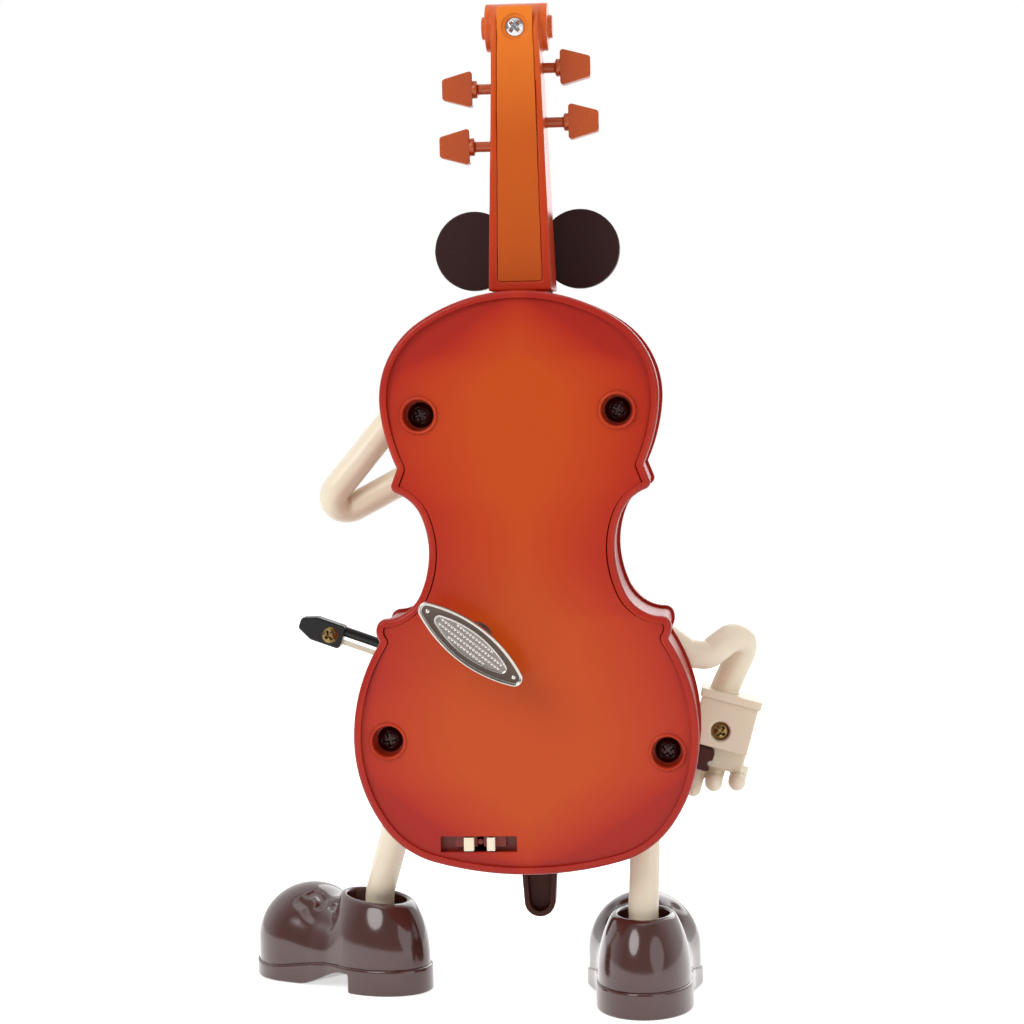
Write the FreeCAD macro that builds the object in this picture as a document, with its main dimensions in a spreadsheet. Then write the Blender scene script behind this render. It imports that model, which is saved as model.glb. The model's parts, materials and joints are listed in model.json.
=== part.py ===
import FreeCAD, Part
import Sketcher
import math
import os
import re
from types import SimpleNamespace

# Cello shaped wind-up music box that stands on two shoes and bows itself
# Millimetres, +Z up, the back of the cello faces -Y, its front faces +Y
# x is measured from the centre line of the cello, z from the floor

SIZES = {
    # cello body: two moulded shells
    "body_bottom_z": 29.5,        # lowest point of the lower bout
    "body_length": 118.2,         # lower bout to upper bout
    "upper_bout_half": 28.15,
    "upper_corner_half": 26.1,
    "waist_half": 18.85,
    "lower_corner_half": 29.7,
    "lower_bout_half": 35.05,
    "rear_y": -14.0,              # rim of the back plate
    "plate_edge": 3.5,            # edge of the back plate
    "rib_depth": 21.0,            # parting line to the front plate
    "front_edge": 2.5,            # edge of the front plate
    "plate_overhang": 0.6,        # plates stand proud of the ribs
    "rib_wall": 1.8,
    "plate_wall": 2.5,
    "rim_width": 1.5,             # raised bead round each plate
    "rim_rise": 1.0,
    "rim_round": 1.0,             # outer edge of the back's bead
    "front_round": 0.8,
    "corner_round": 0.5,
    "back_arch": 1.7,             # crown of the back above the groove
    "front_arch": 1.2,
    "arch_depth": 12.0,
    "f_hole_x": 13.5,
    "f_hole_z": 57.0,
    "f_hole_half_length": 11.0,
    "f_hole_slot_radius": 0.8,
    "f_hole_eye_radius": 1.5,
    # case screws, set as unevenly as on the toy
    "screw_upper_left_x": -20.2,
    "screw_upper_left_z": 123.0,
    "screw_upper_right_x": 19.8,
    "screw_upper_right_z": 123.3,
    "screw_lower_left_x": -28.0,
    "screw_lower_left_z": 57.0,
    "screw_lower_right_x": 28.6,
    "screw_lower_right_z": 54.2,
    "well_radius": 3.15,          # sunk hole that a case screw lies in
    "well_wall": 0.7,
    "well_proud": 0.35,           # rim of the hole above the arched plate
    "well_depth": 4.5,
    "well_floor": 1.5,
    "case_head_radius": 2.6,
    "case_head_height": 1.6,
    "case_shank_radius": 1.25,
    "case_shank_length": 12.0,
    "boss_radius": 3.0,
    # neck, scroll and cover
    "neck_rear_y": -3.0,
    "neck_front_y": 11.5,         # under the nut
    "neck_top_half": 4.8,
    "neck_root_half": 6.45,
    "neck_root_z": 147.9,
    "nut_z": 173.0,
    "scroll_y": 4.0,
    "scroll_z": 202.0,
    "scroll_radius": 4.9,
    "scroll_half_width": 6.4,
    "eye_radius": 2.35,
    "eye_half_width": 7.3,
    "board_tilt_degrees": 3.6,
    "board_length": 73.2,
    "pegbox_half": 3.1,
    "pegbox_low_z": 176.0,
    "pegbox_high_z": 196.0,
    "pegbox_floor_y": 1.5,
    "tenon_half": 5.0,
    "tenon_depth": 3.6,
    "tenon_rear_y": -2.0,
    "tenon_front_y": 9.5,
    "cover_low_half": 4.55,
    "cover_high_half": 3.6,
    "cover_low_z": 149.8,
    "cover_high_z": 205.6,
    "cover_thick": 1.2,
    "cover_sink": 0.15,           # cover lies a little below the neck
    "neck_screw_z": 201.4,
    "dish_radius": 2.7,
    "dish_depth": 0.5,
    "neck_head_radius": 2.3,
    "neck_head_height": 0.9,
    "neck_shank_radius": 0.9,
    "neck_shank_length": 6.0,
    # tuning pegs: start of the head from the centre line, and height
    "peg_left_upper_x": 9.6,
    "peg_left_upper_z": 189.8,
    "peg_left_lower_x": 10.4,
    "peg_left_lower_z": 178.0,
    "peg_right_upper_x": 8.6,
    "peg_right_upper_z": 193.8,
    "peg_right_lower_x": 10.1,
    "peg_right_lower_z": 182.6,
    "peg_y": 6.0,
    "peg_shaft_radius": 1.1,
    "peg_bead_radius": 1.85,
    "peg_bead_width": 1.1,
    "peg_head_length": 6.3,
    "peg_head_inner": 7.7,
    "peg_head_outer": 4.2,
    "peg_head_thick": 3.4,
    "peg_reach": 4.0,             # shaft end beyond the centre line
    # fingerboard, nut, bridge, strings, tailpiece
    "board_thick": 2.4,
    "board_top_half": 4.9,
    "board_low_half": 6.6,
    "nut_height": 1.2,
    "nut_stand": 1.0,             # nut top above the board
    "bridge_z": 53.0,
    "bridge_thick": 1.6,
    "bridge_foot_half": 9.0,
    "bridge_top_half": 5.4,
    "bridge_low_y": 14.2,
    "bridge_top_y": 23.0,
    "string_radius": 0.3,
    "string_nut_gap": 1.6,
    "string_bridge_gap": 2.6,
    "string_tail_gap": 2.2,
    "string_bend": 1.5,
    "string_peg_y": 9.0,
    "string_peg_z": 181.0,
    "string_tail_y": 17.0,
    "tail_top_z": 46.5,
    "tail_low_z": 15.3,
    "tail_top_half": 5.2,
    "tail_low_half": 3.3,
    "tail_rear_y": 14.4,
    "tail_front_y": 18.4,
    "tail_wall": 1.2,
    "tail_post_z": 37.0,
    "tail_post_radius": 1.8,
    # bow tie
    "tie_lobe_x": 11.2,
    "tie_z": 157.0,
    "tie_lobe_radius": 8.4,
    "tie_rear_y": 17.2,
    "tie_thick": 3.2,
    "tie_bar_half": 4.2,
    "tie_prong_thick": 1.3,
    "tie_prong_half": 3.0,
    "tie_prong_rear_y": 8.5,
    "knot_half_width": 4.2,
    "knot_half_height": 4.6,
    "knot_thick": 2.2,
    # limbs
    "limb_radius": 3.1,
    "limb_bend": 3.2,
    "leg_bend": 6.0,
    "left_leg_clearance": 0.35,
    "right_leg_x": 23.2,
    "right_leg_y": -1.0,
    "left_leg_x": -29.0,
    "left_leg_y": 4.5,
    "leg_top_z": 46.0,
    "right_leg_top_z": 40.5,
    "hip_z": 32.0,
    "left_hip_z": 36.5,
    "right_knee_z": 20.0,
    "left_knee_z": 20.0,
    "left_ankle_x": -34.8,
    "left_ankle_y": 17.5,
    "right_ankle_x": 22.7,
    "right_ankle_y": -2.0,
    # shoes
    "shoe_floor_z": 8.2,          # bottom of the ankle hole
    "heel_height": 6.5,
    "sole_thick": 3.0,
    "heel_back": 10.4,            # behind the ankle axis
    "heel_front": 7.0,
    "toe_front": 36.4,
    "toe_centre": 24.4,
    "toe_half": 12.0,
    "toe_side_z": 7.5,            # where the side of the toe starts to round over
    "ball_y": 15.0,
    "heel_half": 10.2,
    "welt": 0.5,                  # sole stands proud of the upper
    "arch_rise": 3.4,
    "collar_z": 21.0,
    "collar_half_width": 6.9,
    "collar_wall": 1.0,
    "instep_top_z": 15.8,
    "instep_side_z": 9.0,
    "left_toe_out_degrees": 47.0,
    # hands, with the hand screw as their origin
    "hand_left_edge": -5.6,
    "hand_right_edge": 6.8,
    "hand_top": 7.4,
    "hand_seam": -3.75,
    "hand_bottom": -8.6,
    "hand_rear": 4.5,
    "hand_front": 4.6,
    "cuff_proud": 0.9,
    "cuff_height": 0.9,
    "wrist_x": -1.2,
    "wrist_depth": 5.4,
    "finger_radius": 1.9,
    "finger_one_x": 6.3,
    "finger_two_x": 1.5,
    "finger_tip_one": -10.0,
    "finger_tip_two": -11.4,
    "finger_reach": 2.0,
    "thumb_x": -2.4,
    "thumb_tip": -14.4,
    "thumb_radius": 1.8,
    "hand_head_radius": 2.1,
    "hand_head_height": 1.0,
    "hand_shank_radius": 0.9,
    "hand_shank_length": 5.6,
    "right_hand_x": 38.8,
    "right_hand_y": 27.6,
    "right_hand_z": 53.4,
    "right_hand_degrees": 15.5,
    "left_hand_x": -10.0,
    "left_hand_y": 24.0,
    "left_hand_z": 116.2,
    "left_hand_degrees": -115.0,
    # arms
    "arm_shaft_x": 12.0,
    "arm_shaft_z": 92.0,
    "upper_arm_y": 18.6,
    "shoulder_rear_y": 15.0,
    "shoulder_front_y": 22.4,
    "arm_shaft_front_y": 17.4,
    "shoulder_radius": 4.0,
    "left_shoulder_x": -17.0,
    "left_shoulder_z": 126.0,
    "arm_shaft_radius": 1.8,
    "bush_wall": 1.2,
    "bush_rear_y": 10.2,
    "bush_front_y": 14.7,
    "lever_y": 8.4,
    "lever_thick": 1.2,
    "lever_half": 1.8,
    "lever_knee_x": 14.4,
    "lever_knee_z": 81.4,
    "lever_hub_radius": 3.0,
    "tab_x": 24.0,
    "tab_thick": 1.0,
    "tab_half": 4.7,
    "tab_rear_y": -2.6,
    "window_half_z": 3.4,
    "window_half_y": 2.2,
    # bow, with its own long axis
    "bow_y": 25.5,
    "bow_z": 59.8,                # where it crosses the centre line
    "bow_degrees": 19.8,
    "bow_tip_end": -54.8,
    "bow_cap_end": -44.9,
    "bow_stick_end": 37.5,
    "stick_radius": 1.1,
    "stick_rise": 0.8,
    "hair_low": -1.9,
    "hair_thick": 0.8,
    "hair_half": 1.2,
    "frog_start": 28.0,
    "frog_end": 39.2,
    "frog_low": -2.2,
    "frog_top": 2.8,
    "frog_half": 1.9,
    "cap_low": -3.1,
    "cap_top": 2.0,
    "cap_half": 1.9,
    "tip_screw_at": -47.7,
    "tip_screw_rise": -0.8,
    "tip_head_radius": 2.0,
    "tip_head_height": 0.8,
    "tip_shank_radius": 0.8,
    "tip_shank_length": 2.4,
    "cap_socket": 1.4,
    # musical movement
    "arbor_x": -9.6,
    "arbor_z": 77.7,
    "arbor_radius": 1.5,
    "arbor_front_y": 0.4,
    "key_hole_radius": 3.6,
    "key_length": 26.5,
    "key_height": 8.3,
    "key_thick": 1.6,
    "key_rear_y": -25.0,
    "key_rim": 0.9,
    "key_sink": 0.35,
    "key_pad_share": 0.62,
    "key_hub_radius": 2.4,
    "key_hub_length": 5.6,
    "key_degrees": 38.5,
    "bedplate_y": -9.5,
    "bedplate_thick": 1.2,
    "standoff_radius": 2.4,
    "cage_radius": 8.2,
    "cage_wall": 0.9,
    "cage_front_y": -1.9,
    "spring_turns": 5,
    "spring_inner_radius": 2.2,
    "spring_thick": 0.35,
    "wheel_radius": 8.0,
    "wheel_rear_y": -1.6,
    "wheel_face_y": -0.9,
    "wheel_tooth_top_y": -0.05,
    "wheel_tooth_inner": 6.4,
    "wheel_tooth_outer": 7.6,
    "wheel_teeth": 40,
    "wheel_tooth_half": 0.2,
    "wheel_phase_degrees": 4.5,
    "pinion_teeth": 8,
    "pinion_root": 0.95,
    "pinion_tip": 1.75,
    "pinion_half_root": 0.26,
    "pinion_half_tip": 0.12,
    "pinion_left_x": -3.2,
    "pinion_right_x": -2.0,
    "cylinder_y": 1.0,
    "cylinder_radius": 6.2,
    "cylinder_pin": 0.4,
    "cylinder_left_x": -0.9,
    "cylinder_right_x": 14.1,
    "cylinder_shaft_radius": 0.7,
    "cylinder_shaft_left_x": -5.4,
    "cylinder_shaft_right_x": 18.0,
    "gear_left_x": 14.8,
    "gear_width": 1.2,
    "gear_teeth": 30,
    "gear_root": 5.05,
    "gear_tip": 5.85,
    "gear_half_root": 0.34,
    "gear_half_tip": 0.12,
    "crank_drop": 7.0,            # crank shaft below the cylinder shaft
    "crank_pinion_root": 1.0,
    "crank_pinion_tip": 1.8,
    "crank_half_root": 0.26,
    "crank_half_tip": 0.12,
    "crank_phase_degrees": 0.0,
    "crank_shaft_left_x": 14.3,
    "crank_disc_x": 20.7,
    "crank_disc_thick": 0.8,
    "crank_disc_radius": 2.6,
    "crank_throw": 1.1,
    "crank_pin_radius": 0.6,
    "crank_pin_end_x": 27.4,
    "bearing_left_x": -5.2,
    "bearing_right_x": 16.9,
    "bearing_thick": 0.9,
    "bearing_eye": 1.6,
    "bearing_foot_rise": 8.5,
    "housing_left_x": 18.2,
    "housing_right_x": 20.2,
    "housing_low_z": 61.0,
    "housing_high_z": 74.2,
    "housing_front_y": 4.4,
    "comb_tip_z": 70.95,
    "comb_root_z": 62.5,
    "comb_low_z": 55.4,
    "comb_thick": 0.8,
    "comb_teeth": 18,
    "comb_slit": 0.25,
    "comb_block_low_z": 55.0,
    "comb_block_high_z": 61.6,
    "small_head_radius": 1.5,
    "small_head_height": 0.9,
    "small_shank_radius": 0.7,
    "small_shank_length": 3.2,
    "movement_screw_one_x": -17.6,
    "movement_screw_one_z": 56.2,
    "movement_screw_two_x": 22.6,
    "movement_screw_two_z": 56.6,
    "movement_screw_three_x": 3.0,
    "movement_screw_three_z": 84.0,
    # stop switch
    "slot_x": -10.0,
    "slot_z": 35.8,
    "slot_length": 15.6,
    "slot_height": 3.3,
    "prong_height": 2.7,
    "prong_left_x": -12.0,
    "prong_left_width": 2.0,
    "prong_right_x": -7.5,
    "prong_right_width": 1.6,
    "prong_rear_y": -13.4,
    "slider_y": -11.2,
    "slider_thick": 0.9,
    "slider_low_z": 35.0,
    "slider_high_z": 40.4,
    "slider_left_x": -15.0,
    "slider_right_x": -4.6,
    "retainer_y": -9.9,
    "retainer_thick": 0.8,
    "retainer_left_x": -20.6,
    "retainer_right_x": 2.0,
    "retainer_low_z": 38.6,
    "retainer_high_z": 43.2,
    "retainer_post_radius": 1.2,
    "stop_pivot_x": -9.8,
    "stop_pivot_z": 47.0,
    "stop_pivot_radius": 0.9,
    "stop_hub_radius": 2.2,
    "stop_y": -6.9,
    "stop_thick": 0.8,
    "stop_half": 1.0,
    "stop_post_radius": 0.55,
    "stop_post_z": 36.0,
    "stop_finger_x": 21.5,
    "stop_finger_z": 50.1,
    # fits
    "running_gap": 0.05,
    "seat_gap": 0.05,
    "overrun": 1.0,
}

# Outline of the cello: shares of a half width and of the body length
UPPER_BOUT_SHARES = [(0.703, 0.950), (1.0, 0.8046), (0.8846, 0.7005)]
UPPER_CORNER_SHARES = [(1.0, 0.6743), (0.969, 0.6591)]
WAIST_SHARES = [(1.069, 0.6168), (1.0, 0.5457), (1.0955, 0.4856), (1.326, 0.4484)]
LOWER_CORNER_SHARES = [(0.943, 0.4425), (1.0, 0.4323), (0.983, 0.4036)]
LOWER_BOUT_SHARES = [(1.0, 0.2352), (0.8388, 0.0846), (0.542, 0.0223), (0.0, 0.0)]
UPPER_LIP_DEGREES = -68.8
LOWER_LIP_DEGREES = -57.2
# Corners of the arms between shoulder and cuff
RIGHT_ARM_PATH = [(24, 18.6, 77), (32.4, 19.2, 70.7), (36.5, 20.5, 70.2), (47.2, 25.5, 77.6)]
LEFT_ARM_PATH = [(-28.2, 19.5, 123.5), (-44.3, 19.5, 104.6), (-40.6, 23, 102.2)]
BEDPLATE_CORNERS = [(-20.5, 53), (23.6, 53), (25, 59), (25, 75), (16, 83.5), (7, 86.8), (-16, 86.8),
                    (-20.5, 81)]
# The arched panel of a plate draws in by this share from its foot to its top
PANEL_SHARE = 0.97
# Names of the places of the case screws and of the movement's screws
CASE_SCREWS = ["screw_upper_left", "screw_upper_right", "screw_lower_left", "screw_lower_right"]
MOVEMENT_SCREWS = ["movement_screw_one", "movement_screw_two", "movement_screw_three"]

Vector = FreeCAD.Vector
Placement = FreeCAD.Placement
Rotation = FreeCAD.Rotation

document = FreeCAD.newDocument("CelloMusicBox")
sheet = document.addObject("Spreadsheet::Sheet", "Sizes")
size = SimpleNamespace(**SIZES)


def panel_rise(x, z, rise):
    """Height of a plate's arch above its groove."""
    middle = size.body_bottom_z + size.body_length / 2
    across = x ** 2 / size.lower_bout_half ** 2
    along = (z - middle) ** 2 / (size.body_length / 2) ** 2
    return rise * (1 - across - along)


def work_out():
    """Sizes that follow from the driving ones."""
    size.parting_y = size.rear_y + size.plate_edge
    size.front_plate_y = size.parting_y + size.rib_depth
    size.front_y = size.front_plate_y + size.front_edge
    size.rib_inset = size.plate_overhang
    size.inner_inset = size.plate_overhang + size.rib_wall
    size.back_inner_y = size.rear_y + size.plate_wall
    size.groove_y = size.rear_y + size.rim_rise
    size.front_groove_y = size.front_y - size.rim_rise * 0.6
    size.well_floor_y = size.rear_y + size.well_depth
    size.well_end_y = size.well_floor_y + size.well_floor
    for name in CASE_SCREWS:
        rise = panel_rise(getattr(size, name + "_x"), getattr(size, name + "_z"), size.back_arch)
        setattr(size, name + "_rim_y", size.groove_y - rise - size.well_proud)
    size.crown_y = size.groove_y - size.back_arch
    size.far_rear_y = size.crown_y - size.overrun
    size.far_front_y = size.front_groove_y + size.front_arch + size.overrun
    size.front_inner_y = size.front_plate_y + size.plate_overhang
    size.body_top_z = size.body_bottom_z + size.body_length
    size.body_middle_z = size.body_bottom_z + size.body_length / 2
    size.retainer_post_z = (size.retainer_low_z + size.retainer_high_z) / 2
    size.retainer_post_left_x = size.retainer_left_x + size.retainer_post_radius
    size.retainer_post_right_x = size.retainer_right_x - size.retainer_post_radius
    size.case_hole_radius = size.case_shank_radius + size.seat_gap
    size.well_outer_radius = size.well_radius + size.well_wall
    size.neck_hole_radius = size.neck_shank_radius + size.seat_gap
    size.small_hole_radius = size.small_shank_radius + size.seat_gap
    size.peg_hole_radius = size.peg_shaft_radius + size.seat_gap
    size.nut_top_y = size.neck_front_y + size.board_thick + size.nut_stand - size.string_radius
    size.collar_bore_radius = size.collar_half_width - size.collar_wall
    size.hand_bore_radius = size.hand_head_radius + size.seat_gap
    size.hand_hole_radius = size.hand_shank_radius + size.seat_gap
    size.stick_hole_radius = size.stick_radius + size.seat_gap
    size.cage_inner_radius = size.cage_radius - size.cage_wall
    size.arbor_bore_radius = size.arbor_radius + size.running_gap
    size.shaft_bore_radius = size.cylinder_shaft_radius + size.running_gap
    size.shaft_hole_radius = size.arm_shaft_radius + size.running_gap
    size.stop_bore_radius = size.stop_pivot_radius + size.running_gap
    size.comb_pitch = (size.cylinder_right_x - size.cylinder_left_x) / size.comb_teeth
    size.bedplate_front_y = size.bedplate_y + size.bedplate_thick
    size.crank_z = size.arbor_z - size.crank_drop
    size.housing_rear_y = size.bedplate_front_y
    size.leg_hole_radius = size.limb_radius + size.seat_gap
    size.left_leg_hole_radius = size.limb_radius + size.left_leg_clearance
    size.bush_radius = size.arm_shaft_radius + size.running_gap + size.bush_wall
    size.bush_hole_radius = size.bush_radius + size.seat_gap
    size.key_front_y = size.key_rear_y + size.key_thick
    size.tie_front_y = size.tie_rear_y + size.tie_thick
    size.lever_front_y = size.lever_y + size.lever_thick
    size.slider_front_y = size.slider_y + size.slider_thick
    size.stop_front_y = size.stop_y + size.stop_thick
    size.comb_rear_y = size.cylinder_y - size.comb_thick / 2
    size.comb_front_y = size.cylinder_y + size.comb_thick / 2


work_out()
for row, (alias, value) in enumerate(vars(size).items(), 1):
    sheet.set("A%d" % row, alias)
    sheet.set("B%d" % row, str(value))
    sheet.setAlias("B%d" % row, alias)
document.recompute()


# Drawing helpers


def bound(text):
    """An expression in the sheet's own names."""
    return re.sub(r"[a-z]\w*", lambda word: "Sizes." + word.group(0), text)


def line(start, stop):
    return Part.LineSegment(Vector(*start, 0), Vector(*stop, 0))


def polygon(points):
    return [line(point, points[(index + 1) % len(points)]) for index, point in enumerate(points)]


def rectangle(left, right, low, high):
    return polygon([(left, low), (right, low), (right, high), (left, high)])


def bar(start, stop, half):
    """A straight bar between two points."""
    first, last = Vector(*start, 0), Vector(*stop, 0)
    side = Vector(first.y - last.y, last.x - first.x, 0).normalize() * half
    corners = (first + side, first - side, last - side, last + side)
    return polygon([(spot.x, spot.y) for spot in corners])


def disc(x, y, alias):
    """A circle whose radius stays bound to the sheet."""
    return (Part.Circle(Vector(x, y, 0), Vector(0, 0, 1), getattr(size, alias)), alias)


def rounded(points, radius):
    """A polygon with an arc of one radius at every corner."""
    shapes = []
    ends = []
    for index, point in enumerate(points):
        here = Vector(*point, 0)
        before = (Vector(*points[index - 1], 0) - here).normalize()
        after = (Vector(*points[(index + 1) % len(points)], 0) - here).normalize()
        half = before.getAngle(after) / 2
        reach = radius / math.tan(half)
        middle = (before + after).normalize()
        top = here + middle * (radius / math.sin(half) - radius)
        shapes.append(Part.Arc(here + before * reach, top, here + after * reach))
        ends.append((here + before * reach, here + after * reach))
    for index, (first, last) in enumerate(ends):
        following = ends[(index + 1) % len(ends)][0]
        if (following - last).Length > size.seat_gap / 10:
            shapes.append(Part.LineSegment(last, following))
    return shapes


def arc_chain(start, heading_degrees, points):
    """Arcs from point to point, each leaving as the last one arrived."""
    shapes = []
    here = Vector(*start, 0)
    heading = math.radians(heading_degrees)
    for point in points:
        there = Vector(*point, 0)
        chord = there - here
        bearing = math.atan2(chord.y, chord.x)
        turn = (heading - bearing + math.pi) % (2 * math.pi) - math.pi
        side = Vector(-math.sin(bearing), math.cos(bearing), 0)
        middle = (here + there) / 2 + side * (chord.Length / 2 * math.tan(turn / 2))
        if abs(turn) < math.radians(1):
            shapes.append(Part.LineSegment(here, there))
        else:
            shapes.append(Part.Arc(here, middle, there))
        heading = bearing - turn
        here = there
    return shapes


def half_outline(side):
    """One half of the cello's outline, from the top centre to the bottom centre."""
    def spots(half_width, shares):
        return [(side * half_width * across, size.body_bottom_z + size.body_length * up)
                for across, up in shares]

    def heading(degrees):
        return degrees if side > 0 else 180 - degrees

    upper = spots(size.upper_bout_half, UPPER_BOUT_SHARES)
    corner = spots(size.upper_corner_half, UPPER_CORNER_SHARES)
    waist = spots(size.waist_half, WAIST_SHARES)
    low_corner = spots(size.lower_corner_half, LOWER_CORNER_SHARES)
    lower = spots(size.lower_bout_half, LOWER_BOUT_SHARES)
    shapes = arc_chain((0, size.body_top_z), heading(0), upper)
    shapes += arc_chain(upper[-1], heading(UPPER_LIP_DEGREES), corner + waist + low_corner)
    shapes += arc_chain(low_corner[-1], heading(LOWER_LIP_DEGREES), lower)
    return shapes


def outline(inset=0.0, share=1.0):
    """The cello's outline, drawn in by an inset and then scaled about its middle."""
    edges = [shape.toShape() for shape in half_outline(1) + half_outline(-1)]
    wire = Part.Wire(Part.__sortEdges__(edges))
    if inset:
        wire = wire.makeOffset2D(-inset)
    middle = Vector(0, size.body_bottom_z + size.body_length / 2, 0)
    shapes = []
    for edge in wire.OrderedEdges:
        first, last = edge.FirstParameter, edge.LastParameter
        spots = [edge.valueAt(value) for value in (first, (first + last) / 2, last)]
        spots = [middle + (spot - middle) * share for spot in spots]
        if edge.Curve.TypeId == "Part::GeomLine":
            shapes.append(Part.LineSegment(spots[0], spots[2]))
        else:
            shapes.append(Part.Arc(*spots))
    return shapes


def new_body(label):
    body = document.addObject("PartDesign::Body", label)
    body.Label = label
    return body


def draw(body, role, offset, shapes):
    """A sketch on one of the body's own planes."""
    sketch = body.newObject("Sketcher::SketchObject", body.Label + "_sketch")
    plane = next(part for part in body.Origin.OriginFeatures if part.Role == role)
    sketch.AttachmentSupport = (plane, [""])
    sketch.MapMode = "FlatFace"
    sketch.setExpression("AttachmentOffset.Base.z", bound(offset))
    for shape in shapes:
        geometry, alias = shape if isinstance(shape, tuple) else (shape, None)
        index = sketch.addGeometry(geometry, False)
        if alias:
            number = sketch.addConstraint(Sketcher.Constraint("Radius", index, geometry.Radius))
            sketch.setExpression("Constraints[%d]" % number, bound(alias))
    return sketch


def prism(body, kind, role, shapes, start, stop):
    """A pad or a pocket that fills the span from start to stop along the plane's axis."""
    flipped = role == "XZ_Plane"
    offset = "-(%s)" % start if flipped else start
    feature = body.newObject("PartDesign::" + kind, body.Label + "_" + kind.lower())
    feature.Profile = draw(body, role, offset, shapes)
    feature.Reversed = flipped if kind == "Pad" else not flipped
    feature.setExpression("Length", bound("(%s) - (%s)" % (stop, start)))
    body.Tip = feature
    return feature


def turn(body, shapes):
    """A solid turned about the body's own Z axis, from shapes drawn as (radius, height)."""
    feature = body.newObject("PartDesign::Revolution", body.Label + "_turned")
    feature.Profile = draw(body, "XZ_Plane", "0", shapes)
    feature.ReferenceAxis = (feature.Profile[0], ["V_Axis"])
    feature.Angle = 360
    body.Tip = feature
    return feature


def soften(body, feature, alias, wanted):
    """Rounds those edges of a feature that a test picks out."""
    document.recompute()
    names = ["Edge%d" % number for number, edge in enumerate(feature.Shape.Edges, 1)
             if wanted(feature.Shape, edge)]
    fillet = body.newObject("PartDesign::Fillet", body.Label + "_" + alias)
    fillet.Base = (feature, names)
    fillet.setExpression("Radius", bound(alias))
    body.Tip = fillet
    return fillet


def is_sharp_upright(shape, edge):
    """True for a straight edge along y where two faces meet at a corner."""
    along = edge.tangentAt(edge.FirstParameter)
    if abs(along.y) < math.cos(math.radians(1)):
        return False
    spot = edge.valueAt((edge.FirstParameter + edge.LastParameter) / 2)
    faces = shape.ancestorsOfType(edge, Part.Face)
    first, second = [face.normalAt(*face.Surface.parameter(spot)) for face in faces]
    return math.cos(math.radians(5)) > abs(first.dot(second))


def lies_at(y):
    """A test for edges that lie in one plane across y."""
    def wanted(shape, edge):
        return all(abs(edge.valueAt(value).y - y) < size.seat_gap
                   for value in (edge.FirstParameter, edge.LastParameter))

    return wanted


def arched_panel(name, facing, base, rise):
    """The panel inside a plate's rim: drafted sides, and a face with a wide radius both ways."""
    slab = new_body(name + "_slab")
    foot = size.rim_width + size.running_gap
    top = "%s + %d * (%s + overrun)" % (base, facing, rise)
    sketches = [draw(slab, "XZ_Plane", "-(%s)" % height, outline(foot, share))
                for height, share in ((base, 1.0), (top, PANEL_SHARE))]
    loft = slab.newObject("PartDesign::AdditiveLoft", name + "_draft")
    loft.Profile = sketches[0]
    loft.Sections = sketches[1:]
    loft.Ruled = True
    slab.Tip = loft
    height = getattr(size, rise)
    across = size.lower_bout_half ** 2 / (2 * height)
    along = (size.body_length / 2) ** 2 / (2 * height)
    reach = size.lower_bout_half + size.overrun
    edge = along - across + math.sqrt(across ** 2 - reach ** 2)
    deep = along - size.arch_depth
    profile = document.addObject("Sketcher::SketchObject", name + "_section")
    profile.addGeometry([
        Part.Arc(Vector(-reach, facing * edge, 0), Vector(0, facing * along, 0),
                 Vector(reach, facing * edge, 0)),
        line((reach, facing * edge), (reach, facing * deep)),
        line((reach, facing * deep), (-reach, facing * deep)),
        line((-reach, facing * deep), (-reach, facing * edge))], False)
    block = document.addObject("Part::Revolution", name + "_block")
    block.Source = profile
    block.Axis = Vector(1, 0, 0)
    block.Angle = math.degrees(2 * math.atan((size.body_length / 2 + size.overrun) / deep))
    block.Symmetric = True
    block.Solid = True
    crown_y = getattr(size, base) + facing * (height - along)
    block.Placement.Base = Vector(0, crown_y, size.body_middle_z)
    panel = document.addObject("Part::Common", name)
    panel.Base = slab
    panel.Tool = block
    return panel


def ring_of(body, feature, axis_role, count):
    """Copies of a feature round one of the body's own axes."""
    document.recompute()
    pattern = body.newObject("PartDesign::PolarPattern", body.Label + "_ring")
    pattern.Originals = [feature]
    axis = next(part for part in body.Origin.OriginFeatures if part.Role == axis_role)
    pattern.Axis = (axis, [""])
    pattern.Angle = 360
    pattern.Occurrences = count
    body.Tip = pattern
    return pattern


def box(label, spans):
    """A box from three (start, stop) pairs of expressions."""
    solid = document.addObject("Part::Box", label)
    for axis, length, (start, stop) in zip("xyz", ("Length", "Width", "Height"), spans):
        solid.setExpression("Placement.Base." + axis, bound(start))
        solid.setExpression(length, bound("(%s) - (%s)" % (stop, start)))
    return solid


TURNED = {
    "x": Rotation(Vector(0, 1, 0), 90),
    "y": Rotation(Vector(1, 0, 0), -90),
    "z": Rotation(),
}


def rod(label, axis, radius, start, stop, across):
    """A cylinder along x, y or z from start to stop; across gives its other two places."""
    solid = document.addObject("Part::Cylinder", label)
    solid.Placement.Rotation = TURNED[axis]
    solid.setExpression("Radius", bound(radius))
    solid.setExpression("Height", bound("(%s) - (%s)" % (stop, start)))
    places = dict(zip([name for name in "xyz" if name != axis], across))
    places[axis] = start
    for name, place in places.items():
        solid.setExpression("Placement.Base." + name, bound(place))
    return solid


def rods(prefix, radius, start, stop, spots):
    """Cylinders along y, one at each (x, z) pair of names."""
    return [rod("%s_%d" % (prefix, number), "y", radius, start, stop, spot)
            for number, spot in enumerate(spots, 1)]


def joined(label, solids):
    fused = document.addObject("Part::MultiFuse", label)
    fused.Shapes = solids
    return fused


def cut(label, base, tools):
    result = document.addObject("Part::Cut", label)
    result.Base = base
    result.Tool = tools[0] if len(tools) == 1 else joined(label + "_tools", tools)
    return result


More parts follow.
